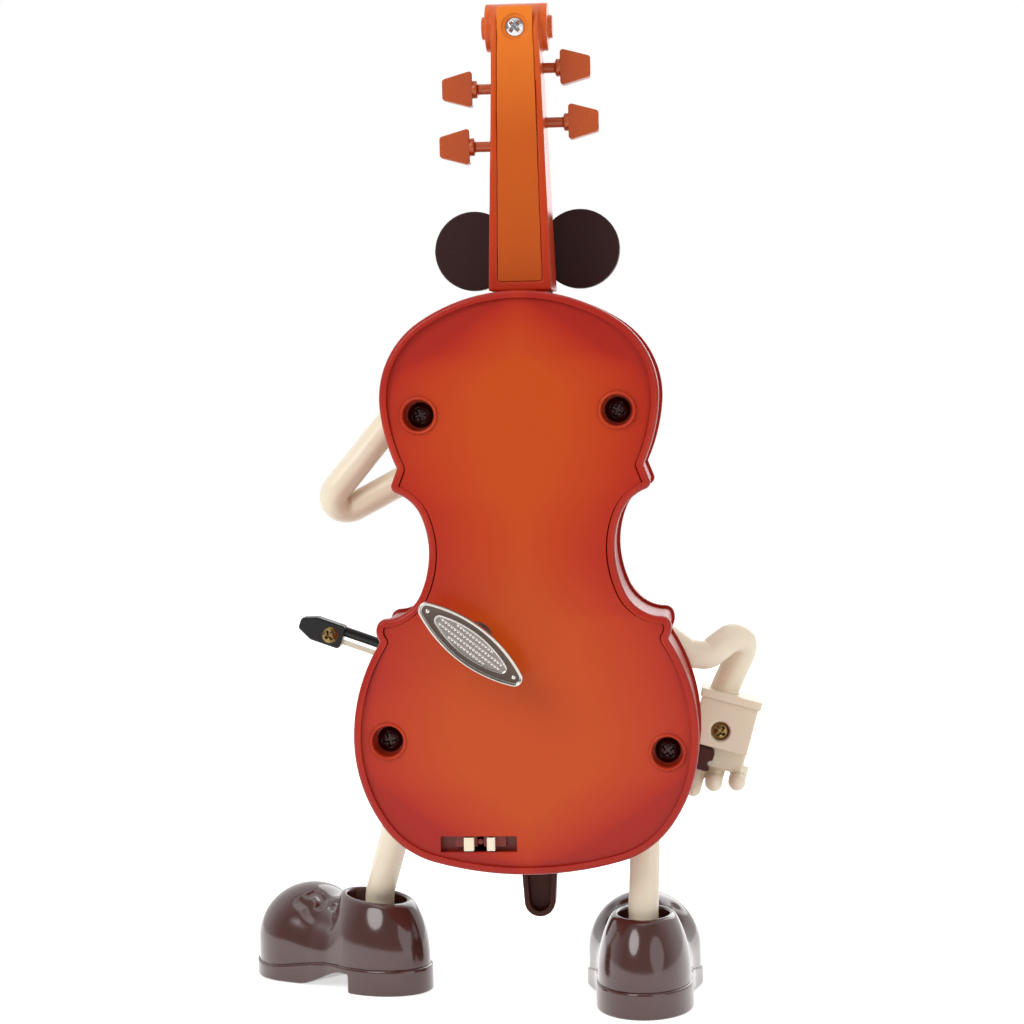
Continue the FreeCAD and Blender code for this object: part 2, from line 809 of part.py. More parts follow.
def group(label, solids):
    """Identical pieces that share a node."""
    compound = document.addObject("Part::Compound", label)
    compound.Links = solids
    return compound


def tube(label, points, radius, bend):
    """A round tube along straight runs joined by arcs."""
    spots = [Vector(*point) for point in points]
    edges = []
    here = spots[0]
    for before, corner, after in zip(spots, spots[1:], spots[2:]):
        back = (before - corner).normalize()
        ahead = (after - corner).normalize()
        half = back.getAngle(ahead) / 2
        reach = bend / math.tan(half)
        middle = corner + (back + ahead).normalize() * (bend / math.sin(half) - bend)
        edges.append(Part.LineSegment(here, corner + back * reach).toShape())
        edges.append(Part.Arc(corner + back * reach, middle, corner + ahead * reach).toShape())
        here = corner + ahead * reach
    edges.append(Part.LineSegment(here, spots[-1]).toShape())
    path = document.addObject("Part::Feature", label + "_path")
    path.Shape = Part.Wire(edges)
    section = document.addObject("Part::Circle", label + "_section")
    section.setExpression("Radius", bound(radius))
    run = (spots[1] - spots[0]).normalize()
    section.Placement = Placement(spots[0], Rotation(Vector(0, 0, 1), run))
    sweep = document.addObject("Part::Sweep", label)
    sweep.Sections = [section]
    sweep.Spine = (path, ["Edge%d" % (index + 1) for index in range(len(edges))])
    sweep.Solid = True
    return sweep


kept = {}


def keep(label, solid, placement=None):
    """Marks a finished sub-part and gives it its name and its place."""
    solid.Label = label
    if placement:
        solid.Placement = placement
    kept[label] = solid
    return solid


def cross_head(body, head_radius, top):
    """Cross recess in a screw head that looks along +Z."""
    arm = getattr(size, head_radius) * 0.62
    half = getattr(size, head_radius) * 0.16
    deep = "(%s) - %s * 0.3" % (top, head_radius)
    for wide, high in ((arm, half), (half, arm)):
        prism(body, "Pocket", "XY_Plane", rectangle(-wide, wide, -high, high), deep, top + " + overrun")


def screw(label, prefix):
    """A pan head screw: the head's underside at z = 0, its shank along -Z."""
    head = getattr(size, prefix + "_head_radius")
    rise = getattr(size, prefix + "_head_height")
    shank = getattr(size, prefix + "_shank_radius")
    length = getattr(size, prefix + "_shank_length")
    body = new_body(label)
    turn(body, polygon([
        (0, -length), (shank * 0.4, -length), (shank, -length + shank), (shank, 0), (head, 0),
        (head, rise * 0.55), (head * 0.75, rise * 0.9), (head * 0.45, rise), (0, rise)]))
    cross_head(body, prefix + "_head_radius", prefix + "_head_height")
    return body


def facing_back(x, y, z):
    """Places a piece so that its +Z looks back, along -Y."""
    return Placement(Vector(x, y, z), Rotation(Vector(1, 0, 0), 90))


def facing_front(x, y, z):
    return Placement(Vector(x, y, z), Rotation(Vector(1, 0, 0), -90))


def places_of(names):
    """Numbers of the (x, z) places with these names."""
    return [(getattr(size, name + "_x"), getattr(size, name + "_z")) for name in names]


def names_of(names):
    return [(name + "_x", name + "_z") for name in names]


# Cello body


def back_shell():
    tray = new_body("back_tray")
    pad = prism(tray, "Pad", "XZ_Plane", outline(), "rear_y", "parting_y")
    eased = soften(tray, pad, "corner_round", is_sharp_upright)
    soften(tray, eased, "rim_round", lies_at(size.rear_y))
    prism(tray, "Pocket", "XZ_Plane", outline(size.rim_width), "rear_y", "groove_y")
    prism(tray, "Pocket", "XZ_Plane", outline(size.inner_inset), "back_inner_y", "parting_y")
    pivot = [("stop_pivot_x", "stop_pivot_z")]
    solids = [tray, arched_panel("back_panel", -1, "groove_y", "back_arch")]
    for name in CASE_SCREWS:
        solids.append(rod(name + "_well", "y", "well_outer_radius", name + "_rim_y", "well_end_y",
                          (name + "_x", name + "_z")))
    solids += rods("movement_post", "standoff_radius", "back_inner_y - seat_gap", "bedplate_y",
                   names_of(MOVEMENT_SCREWS))
    solids += rods("retainer_post", "retainer_post_radius", "back_inner_y - seat_gap", "retainer_y",
                   [("retainer_post_left_x", "retainer_post_z"),
                    ("retainer_post_right_x", "retainer_post_z")])
    solids += rods("stop_post", "stop_hub_radius", "back_inner_y - seat_gap", "stop_y - running_gap", pivot)
    solids += rods("stop_pin", "stop_pivot_radius", "stop_y - 4 * running_gap", "stop_front_y + stop_thick",
                   pivot)
    holes = rods("case_well", "well_radius", "far_rear_y", "well_floor_y", names_of(CASE_SCREWS))
    holes += rods("case_hole", "case_hole_radius", "well_floor_y - overrun", "well_end_y + overrun",
                  names_of(CASE_SCREWS))
    holes += rods("movement_pilot", "small_shank_radius", "back_inner_y - overrun", "bedplate_y + overrun",
                  names_of(MOVEMENT_SCREWS))
    holes += rods("key_hole", "key_hole_radius", "far_rear_y", "parting_y", [("arbor_x", "arbor_z")])
    holes.append(box("switch_slot", [
        ("slot_x - slot_length / 2", "slot_x + slot_length / 2"), ("far_rear_y", "parting_y"),
        ("slot_z - slot_height / 2", "slot_z + slot_height / 2")]))
    keep("back_shell", cut("back_shell", joined("back_whole", solids), holes))


def f_hole(side, name):
    """A slanted slot with a round eye at each end."""
    x = side * size.f_hole_x
    lean = side * size.f_hole_eye_radius
    top = (x - lean, size.f_hole_z + size.f_hole_half_length)
    low = (x + lean, size.f_hole_z - size.f_hole_half_length)
    cutter = new_body(name)
    slot = bar(low, top, size.f_hole_slot_radius)
    for shapes in (slot, [disc(*top, "f_hole_eye_radius")], [disc(*low, "f_hole_eye_radius")]):
        prism(cutter, "Pad", "XZ_Plane", shapes, "front_plate_y - overrun", "far_front_y")
    return cutter


def front_shell():
    tub = new_body("front_tub")
    plate = prism(tub, "Pad", "XZ_Plane", outline(), "front_plate_y", "front_y")
    eased = soften(tub, plate, "corner_round", is_sharp_upright)
    soften(tub, eased, "front_round", lies_at(size.front_y))
    prism(tub, "Pad", "XZ_Plane", outline(size.rib_inset), "parting_y", "front_plate_y + seat_gap")
    prism(tub, "Pocket", "XZ_Plane", outline(size.inner_inset), "parting_y", "front_inner_y")
    prism(tub, "Pocket", "XZ_Plane", outline(size.rim_width), "front_groove_y", "front_y")
    solids = [tub, arched_panel("front_panel", 1, "front_groove_y", "front_arch")]
    solids += rods("case_boss", "boss_radius", "well_end_y", "front_inner_y + seat_gap",
                   names_of(CASE_SCREWS))
    solids += rods("tail_post", "tail_post_radius", "front_plate_y + seat_gap",
                   "tail_front_y - tail_wall - seat_gap", [("0", "tail_post_z")])
    holes = rods("case_pilot", "case_shank_radius", "well_end_y - overrun", "well_end_y + case_shank_length",
                 names_of(CASE_SCREWS))
    holes += [f_hole(1, "right_f_hole"), f_hole(-1, "left_f_hole")]
    holes += rods("bush_hole", "bush_hole_radius", "front_plate_y - overrun", "far_front_y",
                  [("arm_shaft_x", "arm_shaft_z")])
    holes += rods("left_arm_hole", "arm_shaft_radius", "front_plate_y - overrun", "far_front_y",
                  [("left_shoulder_x", "left_shoulder_z")])
    holes.append(rod("right_leg_hole", "z", "leg_hole_radius", "body_bottom_z - overrun",
                     "leg_top_z - boss_radius", ("right_leg_x", "right_leg_y")))
    holes.append(rod("left_leg_hole", "z", "left_leg_hole_radius", "body_bottom_z - overrun",
                     "leg_top_z + overrun", ("left_leg_x", "left_leg_y")))
    holes.append(box("neck_mortise", [
        ("-tenon_half - seat_gap", "tenon_half + seat_gap"),
        ("tenon_rear_y - seat_gap", "tenon_front_y + seat_gap"),
        ("neck_root_z - tenon_depth - overrun", "neck_root_z + overrun")]))
    keep("front_shell", cut("front_shell", joined("front_whole", solids), holes))


def case_screws():
    screws = []
    for number, (x, z) in enumerate(places_of(CASE_SCREWS), 1):
        piece = screw("case_screw_%d" % number, "case")
        piece.Placement = facing_back(x, size.well_floor_y, z)
        screws.append(piece)
    keep("case_screws", group("case_screws", screws))


# Neck


def front_of_neck(z):
    """y of the neck's front face, which leans back towards the nut."""
    return size.neck_front_y + (size.nut_z - z) * math.tan(math.radians(size.board_tilt_degrees))


def neck_half(z):
    share = (z - size.neck_root_z) / (size.scroll_z - size.neck_root_z)
    return size.neck_root_half + (size.neck_top_half - size.neck_root_half) * share


def neck_shell():
    body = new_body("neck_shell")
    rear = size.neck_rear_y
    top = size.scroll_z + size.scroll_radius
    waist = size.scroll_z - size.scroll_radius
    side = [line((rear, size.neck_root_z), (rear, size.nut_z)),
            Part.Arc(Vector(rear, size.nut_z, 0), Vector(rear + 0.1 * size.scroll_radius, size.nut_z + 13, 0),
                     Vector(rear, waist, 0)),
            Part.Arc(Vector(rear, waist, 0), Vector(rear + 0.3 * size.scroll_radius, size.scroll_z + 2, 0),
                     Vector(size.scroll_y, top, 0)),
            line((size.scroll_y, top), (size.scroll_y + 1, waist)),
            line((size.scroll_y + 1, waist), (size.neck_front_y - 3, size.pegbox_high_z)),
            line((size.neck_front_y - 3, size.pegbox_high_z), (size.neck_front_y, size.nut_z)),
            line((size.neck_front_y, size.nut_z), (front_of_neck(size.neck_root_z), size.neck_root_z)),
            line((front_of_neck(size.neck_root_z), size.neck_root_z), (rear, size.neck_root_z))]
    prism(body, "Pad", "YZ_Plane", side, "-neck_root_half", "neck_root_half")
    for hand in (1, -1):
        far = hand * (size.neck_root_half + size.overrun)
        wedge = polygon([(hand * size.neck_root_half, size.neck_root_z),
                         (far, size.neck_root_z - size.overrun), (far, top + size.overrun),
                         (hand * neck_half(top + size.overrun), top + size.overrun)])
        prism(body, "Pocket", "XZ_Plane", wedge, "neck_rear_y - overrun", "front_y + overrun")
    prism(body, "Pad", "YZ_Plane", [disc(size.scroll_y, size.scroll_z, "scroll_radius")],
          "-scroll_half_width", "scroll_half_width")
    prism(body, "Pad", "YZ_Plane", [disc(size.scroll_y, size.scroll_z, "eye_radius")],
          "-eye_half_width", "eye_half_width")
    pegbox = rectangle(-size.pegbox_half, size.pegbox_half, size.pegbox_low_z, size.pegbox_high_z)
    prism(body, "Pocket", "XZ_Plane", pegbox, "pegbox_floor_y", "front_y + overrun")
    for number, (x, z, hand) in enumerate(peg_spots(), 1):
        far = "neck_root_half + overrun"
        span = ("-peg_reach", far) if hand > 0 else ("-(%s)" % far, "peg_reach")
        prism(body, "Pocket", "YZ_Plane", [disc(size.peg_y, z, "peg_hole_radius")], *span)
    prism(body, "Pocket", "XZ_Plane", cover_outline(size.seat_gap), "neck_rear_y - overrun",
          "neck_rear_y + cover_thick + cover_sink")
    prism(body, "Pocket", "XZ_Plane", [disc(0, size.neck_screw_z, "neck_shank_radius")],
          "neck_rear_y - overrun", "neck_rear_y + neck_shank_length + overrun")
    tenon = rectangle(-size.tenon_half, size.tenon_half, size.tenon_rear_y, size.tenon_front_y)
    prism(body, "Pad", "XY_Plane", tenon, "neck_root_z - tenon_depth", "neck_root_z + seat_gap")
    keep("neck_shell", body)


def cover_outline(gap):
    low, high = size.cover_low_z - gap, size.cover_high_z + gap
    return rounded([(-size.cover_low_half - gap, low), (size.cover_low_half + gap, low),
                    (size.cover_high_half + gap, high), (-size.cover_high_half - gap, high)],
                   size.cover_thick / 2)


def neck_cover():
    body = new_body("neck_cover")
    prism(body, "Pad", "XZ_Plane", cover_outline(0), "neck_rear_y + cover_sink",
          "neck_rear_y + cover_thick + cover_sink")
    prism(body, "Pocket", "XZ_Plane", [disc(0, size.neck_screw_z, "dish_radius")],
          "neck_rear_y - overrun", "neck_rear_y + cover_sink + dish_depth")
    prism(body, "Pocket", "XZ_Plane", [disc(0, size.neck_screw_z, "neck_hole_radius")],
          "neck_rear_y - overrun", "neck_rear_y + cover_thick + overrun")
    keep("neck_cover", body)
    piece = screw("neck_screw", "neck")
    keep("neck_screw", piece,
         facing_back(0, size.neck_rear_y + size.cover_sink + size.dish_depth, size.neck_screw_z))


# Start of each peg's head from the centre line, its height, and its side
PEGS = {
    "peg_left_upper": ("peg_left_upper_x", "peg_left_upper_z", -1),
    "peg_left_lower": ("peg_left_lower_x", "peg_left_lower_z", -1),
    "peg_right_upper": ("peg_right_upper_x", "peg_right_upper_z", 1),
    "peg_right_lower": ("peg_right_lower_x", "peg_right_lower_z", 1),
}


def peg_spots():
    return [(getattr(size, x), getattr(size, z), side) for x, z, side in PEGS.values()]


def pegs():
    for label, (x, z, side) in zip(PEGS, peg_spots()):
        body = new_body(label)
        shaft, bead, width = size.peg_shaft_radius, size.peg_bead_radius, size.peg_bead_width
        turn(body, polygon([
            (0, -size.peg_reach), (shaft, -size.peg_reach), (shaft, x - width),
            (bead, x - width * 0.8), (bead, x - width * 0.2), (shaft, x),
            (shaft, x + width), (0, x + width)]))
        inner, outer = size.peg_head_inner / 2, size.peg_head_outer / 2
        far = x + size.peg_head_length
        head = rounded([(-inner, x), (inner, x), (outer, far), (-outer, far)], width * 0.6)
        prism(body, "Pad", "XZ_Plane", head, "-peg_head_thick / 2", "peg_head_thick / 2")
        keep(label, body, Placement(Vector(0, size.peg_y, z), Rotation(Vector(0, 1, 0), 90 * side)))


# Fingerboard, nut, bridge, strings and tailpiece


def fingerboard():
    body = new_body("fingerboard")
    low = size.board_low_half
    edge = size.board_thick * 0.6
    section = [line((-low, size.seat_gap), (low, size.seat_gap)), line((low, size.seat_gap), (low, edge)),
               Part.Arc(Vector(low, edge, 0), Vector(0, size.board_thick, 0), Vector(-low, edge, 0)),
               line((-low, edge), (-low, size.seat_gap))]
    prism(body, "Pad", "XY_Plane", section, "-board_length", "-6 * seat_gap")
    for side in (1, -1):
        wedge = polygon([(side * size.board_top_half, size.overrun), (side * low, -size.board_length),
                         (side * (low + size.overrun), -size.board_length),
                         (side * (low + size.overrun), size.overrun)])
        prism(body, "Pocket", "XZ_Plane", wedge, "-overrun", "board_thick + overrun")
    keep("fingerboard", body, Placement(Vector(0, size.neck_front_y, size.nut_z),
                                        Rotation(Vector(1, 0, 0), size.board_tilt_degrees)))


def nut_and_bridge():
    nut = box("nut", [("-board_top_half", "board_top_half"), ("neck_front_y + seat_gap", "nut_top_y"),
                      ("nut_z", "nut_z + nut_height")])
    keep("nut", nut)
    body = new_body("bridge")
    foot, top = size.bridge_foot_half, size.bridge_top_half
    low, high = size.bridge_low_y, size.bridge_top_y
    ankle = low + size.bridge_thick
    gap = foot * 0.5
    shapes = [line((-foot, low), (-gap, low)), line((-gap, low), (-gap, ankle)),
              Part.Arc(Vector(-gap, ankle, 0), Vector(0, ankle + gap * 0.5, 0), Vector(gap, ankle, 0)),
              line((gap, ankle), (gap, low)), line((gap, low), (foot, low)), line((foot, low), (foot, ankle)),
              Part.Arc(Vector(foot, ankle, 0), Vector(top, (ankle + high) / 2, 0), Vector(top, high, 0)),
              Part.Arc(Vector(top, high, 0), Vector(0, high + size.string_radius * 0.2, 0),
                       Vector(-top, high, 0)),
              Part.Arc(Vector(-top, high, 0), Vector(-top, (ankle + high) / 2, 0), Vector(-foot, ankle, 0)),
              line((-foot, ankle), (-foot, low))]
    prism(body, "Pad", "XY_Plane", shapes, "bridge_z - bridge_thick / 2", "bridge_z + bridge_thick / 2")
    keep("bridge", body)


def strings():
    nut_y = size.nut_top_y + size.string_radius + 3 * size.seat_gap
    bridge_y = size.bridge_top_y + size.string_radius + 4 * size.seat_gap
    past_bridge = size.bridge_z - size.bridge_thick / 2 - size.string_bend / 2
    wires = []
    for number in range(4):
        place = number - 1.5
        points = [(place * size.string_nut_gap * 0.5, size.string_peg_y, size.string_peg_z),
                  (place * size.string_nut_gap, nut_y, size.nut_z + size.nut_height),
                  (place * size.string_bridge_gap, bridge_y, past_bridge),
                  (place * size.string_tail_gap, size.string_tail_y, size.tail_top_z + size.string_radius)]
        wires.append(tube("string_%d" % (number + 1), points, "string_radius", size.string_bend))
    keep("strings", group("strings", wires))


def tailpiece():
    body = new_body("tailpiece")
    top, low = size.tail_top_half, size.tail_low_half

    def spade(inset):
        end = size.tail_low_z + inset
        neck = size.tail_low_z + low
        return [line((-top + inset, size.tail_top_z - inset), (-low + inset, neck)),
                Part.Arc(Vector(-low + inset, neck, 0), Vector(0, end, 0), Vector(low - inset, neck, 0)),
                line((low - inset, neck), (top - inset, size.tail_top_z - inset)),
                line((top - inset, size.tail_top_z - inset), (-top + inset, size.tail_top_z - inset))]

    prism(body, "Pad", "XZ_Plane", spade(0), "tail_rear_y", "tail_front_y")
    prism(body, "Pocket", "XZ_Plane", spade(size.tail_wall), "tail_rear_y - overrun",
          "tail_front_y - tail_wall")
    keep("tailpiece", body)


def bow_tie():
    body = new_body("bow_tie")
    lobes = [disc(side * size.tie_lobe_x, size.tie_z, "tie_lobe_radius") for side in (1, -1)]
    prism(body, "Pad", "XZ_Plane", lobes, "tie_rear_y", "tie_front_y")
    bar = rectangle(-size.tie_lobe_x, size.tie_lobe_x, size.tie_z - size.tie_bar_half,
                    size.tie_z + size.tie_bar_half)
    prism(body, "Pad", "XZ_Plane", bar, "tie_rear_y", "tie_front_y")
    for side in (1, -1):
        inner = side * (neck_half(size.tie_z) + 4 * size.seat_gap)
        outer = inner + side * size.tie_prong_thick
        low, high = size.tie_z - size.tie_prong_half, size.tie_z + size.tie_prong_half
        prong = polygon([(inner, low), (outer, low), (outer, high), (inner, high)])
        prism(body, "Pad", "XZ_Plane", prong, "tie_prong_rear_y", "tie_rear_y + seat_gap")
    keep("bow_tie", body)
    knot = new_body("tie_knot")
    wide, high = size.knot_half_width, size.knot_half_height
    shapes = rounded([(-wide, size.tie_z - high), (wide, size.tie_z - high),
                      (wide, size.tie_z + high), (-wide, size.tie_z + high)], wide * 0.4)
    prism(knot, "Pad", "XZ_Plane", shapes, "tie_front_y", "tie_front_y + knot_thick")
    keep("tie_knot", knot)


# Legs and shoes


def legs():
    ankle = (size.right_ankle_x, size.right_ankle_y)
    hip = (size.right_leg_x, size.right_leg_y)
    keep("right_leg", tube("right_leg", [
        (*hip, size.right_leg_top_z), (*hip, size.hip_z), (*ankle, size.right_knee_z),
        (*ankle, size.shoe_floor_z + size.seat_gap)], "limb_radius", size.leg_bend))
    ankle = (size.left_ankle_x, size.left_ankle_y)
    hip = (size.left_leg_x, size.left_leg_y)
    keep("left_leg", tube("left_leg", [
        (*hip, size.leg_top_z), (*hip, size.left_hip_z), (*ankle, size.left_knee_z),
        (*ankle, size.shoe_floor_z + size.seat_gap)], "limb_radius", size.leg_bend))


def sole_outline(spread):
    """Plan of a shoe: round heel, waist, round toe."""
    heel, toe = size.heel_half + spread, size.toe_half + spread
    waist = size.heel_half * 0.86 + spread
    back = -size.heel_back - spread
    tip = size.toe_front + spread
    return [Part.Arc(Vector(-heel, 0, 0), Vector(0, back, 0), Vector(heel, 0, 0)),
            Part.Arc(Vector(heel, 0, 0), Vector(waist, size.toe_centre * 0.42, 0),
                     Vector(toe, size.toe_centre, 0)),
            Part.Arc(Vector(toe, size.toe_centre, 0), Vector(0, tip, 0), Vector(-toe, size.toe_centre, 0)),
            Part.Arc(Vector(-toe, size.toe_centre, 0), Vector(-waist, size.toe_centre * 0.42, 0),
                     Vector(-heel, 0, 0))]


def sole_top(over):
    """Side view of what lies under the upper, as (y, z) points."""
    far = size.toe_front + over
    back = -size.heel_back - over
    return polygon([(back, -over), (far, -over), (far, size.sole_thick),
                    (size.ball_y, size.sole_thick), (size.heel_front + size.sole_thick, size.heel_height),
                    (back, size.heel_height)])


def shoe_upper(label):
    heel = new_body(label + "_heel")
    low, base = size.heel_half, size.sole_thick
    wall, top = size.collar_half_width, size.collar_z
    side = size.toe_side_z
    turn(heel, [
        line((0, base), (low, base)), line((low, base), (low, side)),
        Part.Arc(Vector(low, side, 0), Vector((low + wall) / 2 + size.welt, (side + top) / 2, 0),
                 Vector(wall, top, 0)),
        line((wall, top), (0, top)), line((0, top), (0, base))])
    toe = new_body(label + "_toe")
    wide = size.toe_half
    slant = wide * math.sqrt(0.5)
    turn(toe, [
        line((0, base), (wide, base)), line((wide, base), (wide, side)),
        Part.Arc(Vector(wide, side, 0), Vector(slant, side + slant, 0), Vector(0, side + wide, 0)),
        line((0, side + wide), (0, base))])
    toe.Placement.Base = Vector(0, size.toe_centre, 0)
    instep = new_body(label + "_instep")
    half, shoulder = size.heel_half - size.collar_wall, size.instep_side_z
    arch = [line((-half, base), (half, base)), line((half, base), (half, shoulder)),
            Part.Arc(Vector(half, shoulder, 0), Vector(0, size.instep_top_z, 0), Vector(-half, shoulder, 0)),
            line((-half, shoulder), (-half, base))]
    prism(instep, "Pad", "XZ_Plane", arch, "0", "toe_centre")
    under = new_body(label + "_under")
    prism(under, "Pad", "YZ_Plane", sole_top(size.overrun), "-toe_half - overrun", "toe_half + overrun")
    hole = new_body(label + "_hole")
    prism(hole, "Pad", "XY_Plane", [disc(0, 0, "collar_bore_radius")], "shoe_floor_z", "collar_z + overrun")
    whole = joined(label + "_whole", [heel, toe, instep])
    return cut(label, whole, [under, hole])


def shoe_sole(label):
    body = new_body(label)
    prism(body, "Pad", "XY_Plane", sole_outline(size.welt), "0", "heel_height")
    far = size.toe_front + 2 * size.overrun
    upper = polygon([(size.ball_y, size.sole_thick), (far, size.sole_thick),
                     (far, size.heel_height + size.overrun),
                     (size.heel_front + size.sole_thick, size.heel_height + size.overrun),
                     (size.heel_front + size.sole_thick, size.heel_height)])
    prism(body, "Pocket", "YZ_Plane", upper, "-toe_half - 2 * overrun", "toe_half + 2 * overrun")
    arch = [line((size.heel_front, -size.overrun), (size.ball_y, -size.overrun)),
            line((size.ball_y, -size.overrun), (size.ball_y, 0)),
            Part.Arc(Vector(size.ball_y, 0, 0),
                     Vector((size.heel_front + size.ball_y) / 2, size.arch_rise * 0.7, 0),
                     Vector(size.heel_front, size.arch_rise, 0)),
            line((size.heel_front, size.arch_rise), (size.heel_front, -size.overrun))]
    prism(body, "Pocket", "YZ_Plane", arch, "-toe_half - 2 * overrun", "toe_half + 2 * overrun")
    return body


def shoes():
    places = {
        "right": Placement(Vector(size.right_ankle_x, size.right_ankle_y, 0), Rotation()),
        "left": Placement(Vector(size.left_ankle_x, size.left_ankle_y, 0),
                          Rotation(Vector(0, 0, 1), size.left_toe_out_degrees)),
    }
    for side, place in places.items():
        keep(side + "_shoe", shoe_upper(side + "_shoe"), place)
        keep(side + "_sole", shoe_sole(side + "_sole"), place)


# Hands and arms


HANDS = {"right": 1, "left": -1}


def hand_place(side):
    spot = Vector(getattr(size, side + "_hand_x"), getattr(size, side + "_hand_y"),
                  getattr(size, side + "_hand_z"))
    return Placement(spot, Rotation(Vector(0, 1, 0), getattr(size, side + "_hand_degrees")))


def finger(label, points, radius):
    """A finger or thumb: a tube with a ball at its tip."""
    run = tube(label + "_run", points, radius, getattr(size, radius) * 1.05)
    ball = document.addObject("Part::Sphere", label + "_tip")
    ball.setExpression("Radius", bound(radius))
    ball.Placement.Base = Vector(*points[-1])
    return [run, ball]


def hand(side):
    sign = HANDS[side]

    def across(left, right):
        return sorted((sign * left, sign * right))

    left, right = across(size.hand_left_edge, size.hand_right_edge)
    wrist = sign * size.wrist_x
    back = new_body(side + "_hand_back")
    prism(back, "Pad", "XZ_Plane", rectangle(left, right, size.hand_seam, size.hand_top), "-hand_rear", "0")
    lip = rectangle(left - size.cuff_proud / 2, right + size.cuff_proud / 2, size.hand_top - size.cuff_height,
                    size.hand_top + size.cuff_height)
    prism(back, "Pad", "XZ_Plane", lip, "-hand_rear - cuff_proud", "0")
    prism(back, "Pocket", "XY_Plane", [disc(wrist, 0, "leg_hole_radius")], "hand_top - wrist_depth",
          "hand_top + cuff_height + overrun")
    prism(back, "Pocket", "XZ_Plane", [disc(0, 0, "hand_bore_radius")], "-hand_rear - overrun",
          "-hand_rear + hand_head_height")
    prism(back, "Pocket", "XZ_Plane", [disc(0, 0, "hand_hole_radius")], "-hand_rear", "overrun")
    keep(side + "_hand_back", back, hand_place(side))

    front = new_body(side + "_palm")
    palm = rounded([(left, size.hand_bottom), (right, size.hand_bottom), (right, size.hand_top),
                    (left, size.hand_top)], size.cuff_proud)
    prism(front, "Pad", "XZ_Plane", palm, "0", "hand_front")
    prism(front, "Pad", "XZ_Plane", lip, "0", "hand_front + cuff_proud")
    prism(front, "Pocket", "XY_Plane", [disc(wrist, 0, "leg_hole_radius")], "hand_top - wrist_depth",
          "hand_top + cuff_height + overrun")
    prism(front, "Pocket", "XZ_Plane", [disc(0, 0, "hand_shank_radius")], "-overrun",
          "hand_shank_length - hand_rear + hand_head_height + seat_gap")
    parts = [front]
    middle = size.hand_front / 2
    for name, x in (("one", size.finger_one_x), ("two", size.finger_two_x)):
        tip = getattr(size, "finger_tip_" + name)
        parts += finger("%s_finger_%s" % (side, name), [
            (sign * x, middle, size.hand_bottom + size.finger_radius), (sign * x, middle, tip),
            (sign * x, -size.finger_reach, tip)], "finger_radius")
    parts += finger(side + "_thumb", [
        (sign * size.thumb_x, middle, size.hand_bottom + size.finger_radius),
        (sign * size.thumb_x, middle, size.thumb_tip)], "thumb_radius")
    keep(side + "_hand_front", joined(side + "_hand_front", parts), hand_place(side))

    piece = screw(side + "_hand_screw", "hand")
    seat = Placement(Vector(0, -size.hand_rear + size.hand_head_height, 0), Rotation(Vector(1, 0, 0), 90))
    keep(side + "_hand_screw", piece, hand_place(side).multiply(seat))


def wrist_points(side):
    """End of the arm in its cuff, and the spot where it leaves the cuff."""
    place = hand_place(side)
    wrist = HANDS[side] * size.wrist_x
    low = size.hand_top - size.wrist_depth + size.seat_gap
    out = size.hand_top + size.cuff_height + size.running_gap * 20
    return [tuple(place.multVec(Vector(wrist, 0, height))) for height in (out, low)]


def arms():
    shoulder = (size.arm_shaft_x, size.upper_arm_y, size.arm_shaft_z)
    run = tube("right_arm_run", [shoulder] + RIGHT_ARM_PATH + wrist_points("right"),
               "limb_radius", size.limb_bend)
    boss = rod("right_arm_boss", "y", "shoulder_radius", "shoulder_rear_y", "shoulder_front_y",
               ("arm_shaft_x", "arm_shaft_z"))
    hole = rod("right_arm_bore", "y", "arm_shaft_radius", "shoulder_rear_y - overrun", "arm_shaft_front_y",
               ("arm_shaft_x", "arm_shaft_z"))
    keep("right_arm", cut("right_arm", joined("right_arm_whole", [run, boss]), [hole]))
    start = (size.left_shoulder_x, size.shoulder_rear_y, size.left_shoulder_z)
    turned = (size.left_shoulder_x, size.upper_arm_y, size.left_shoulder_z)
    run = tube("left_arm_run", [start, turned] + LEFT_ARM_PATH + wrist_points("left"),
               "limb_radius", size.limb_bend)
    peg = rod("left_arm_peg", "y", "arm_shaft_radius", "front_inner_y - overrun",
              "shoulder_rear_y + overrun", ("left_shoulder_x", "left_shoulder_z"))
    keep("left_arm", joined("left_arm", [run, peg]))


# Bow


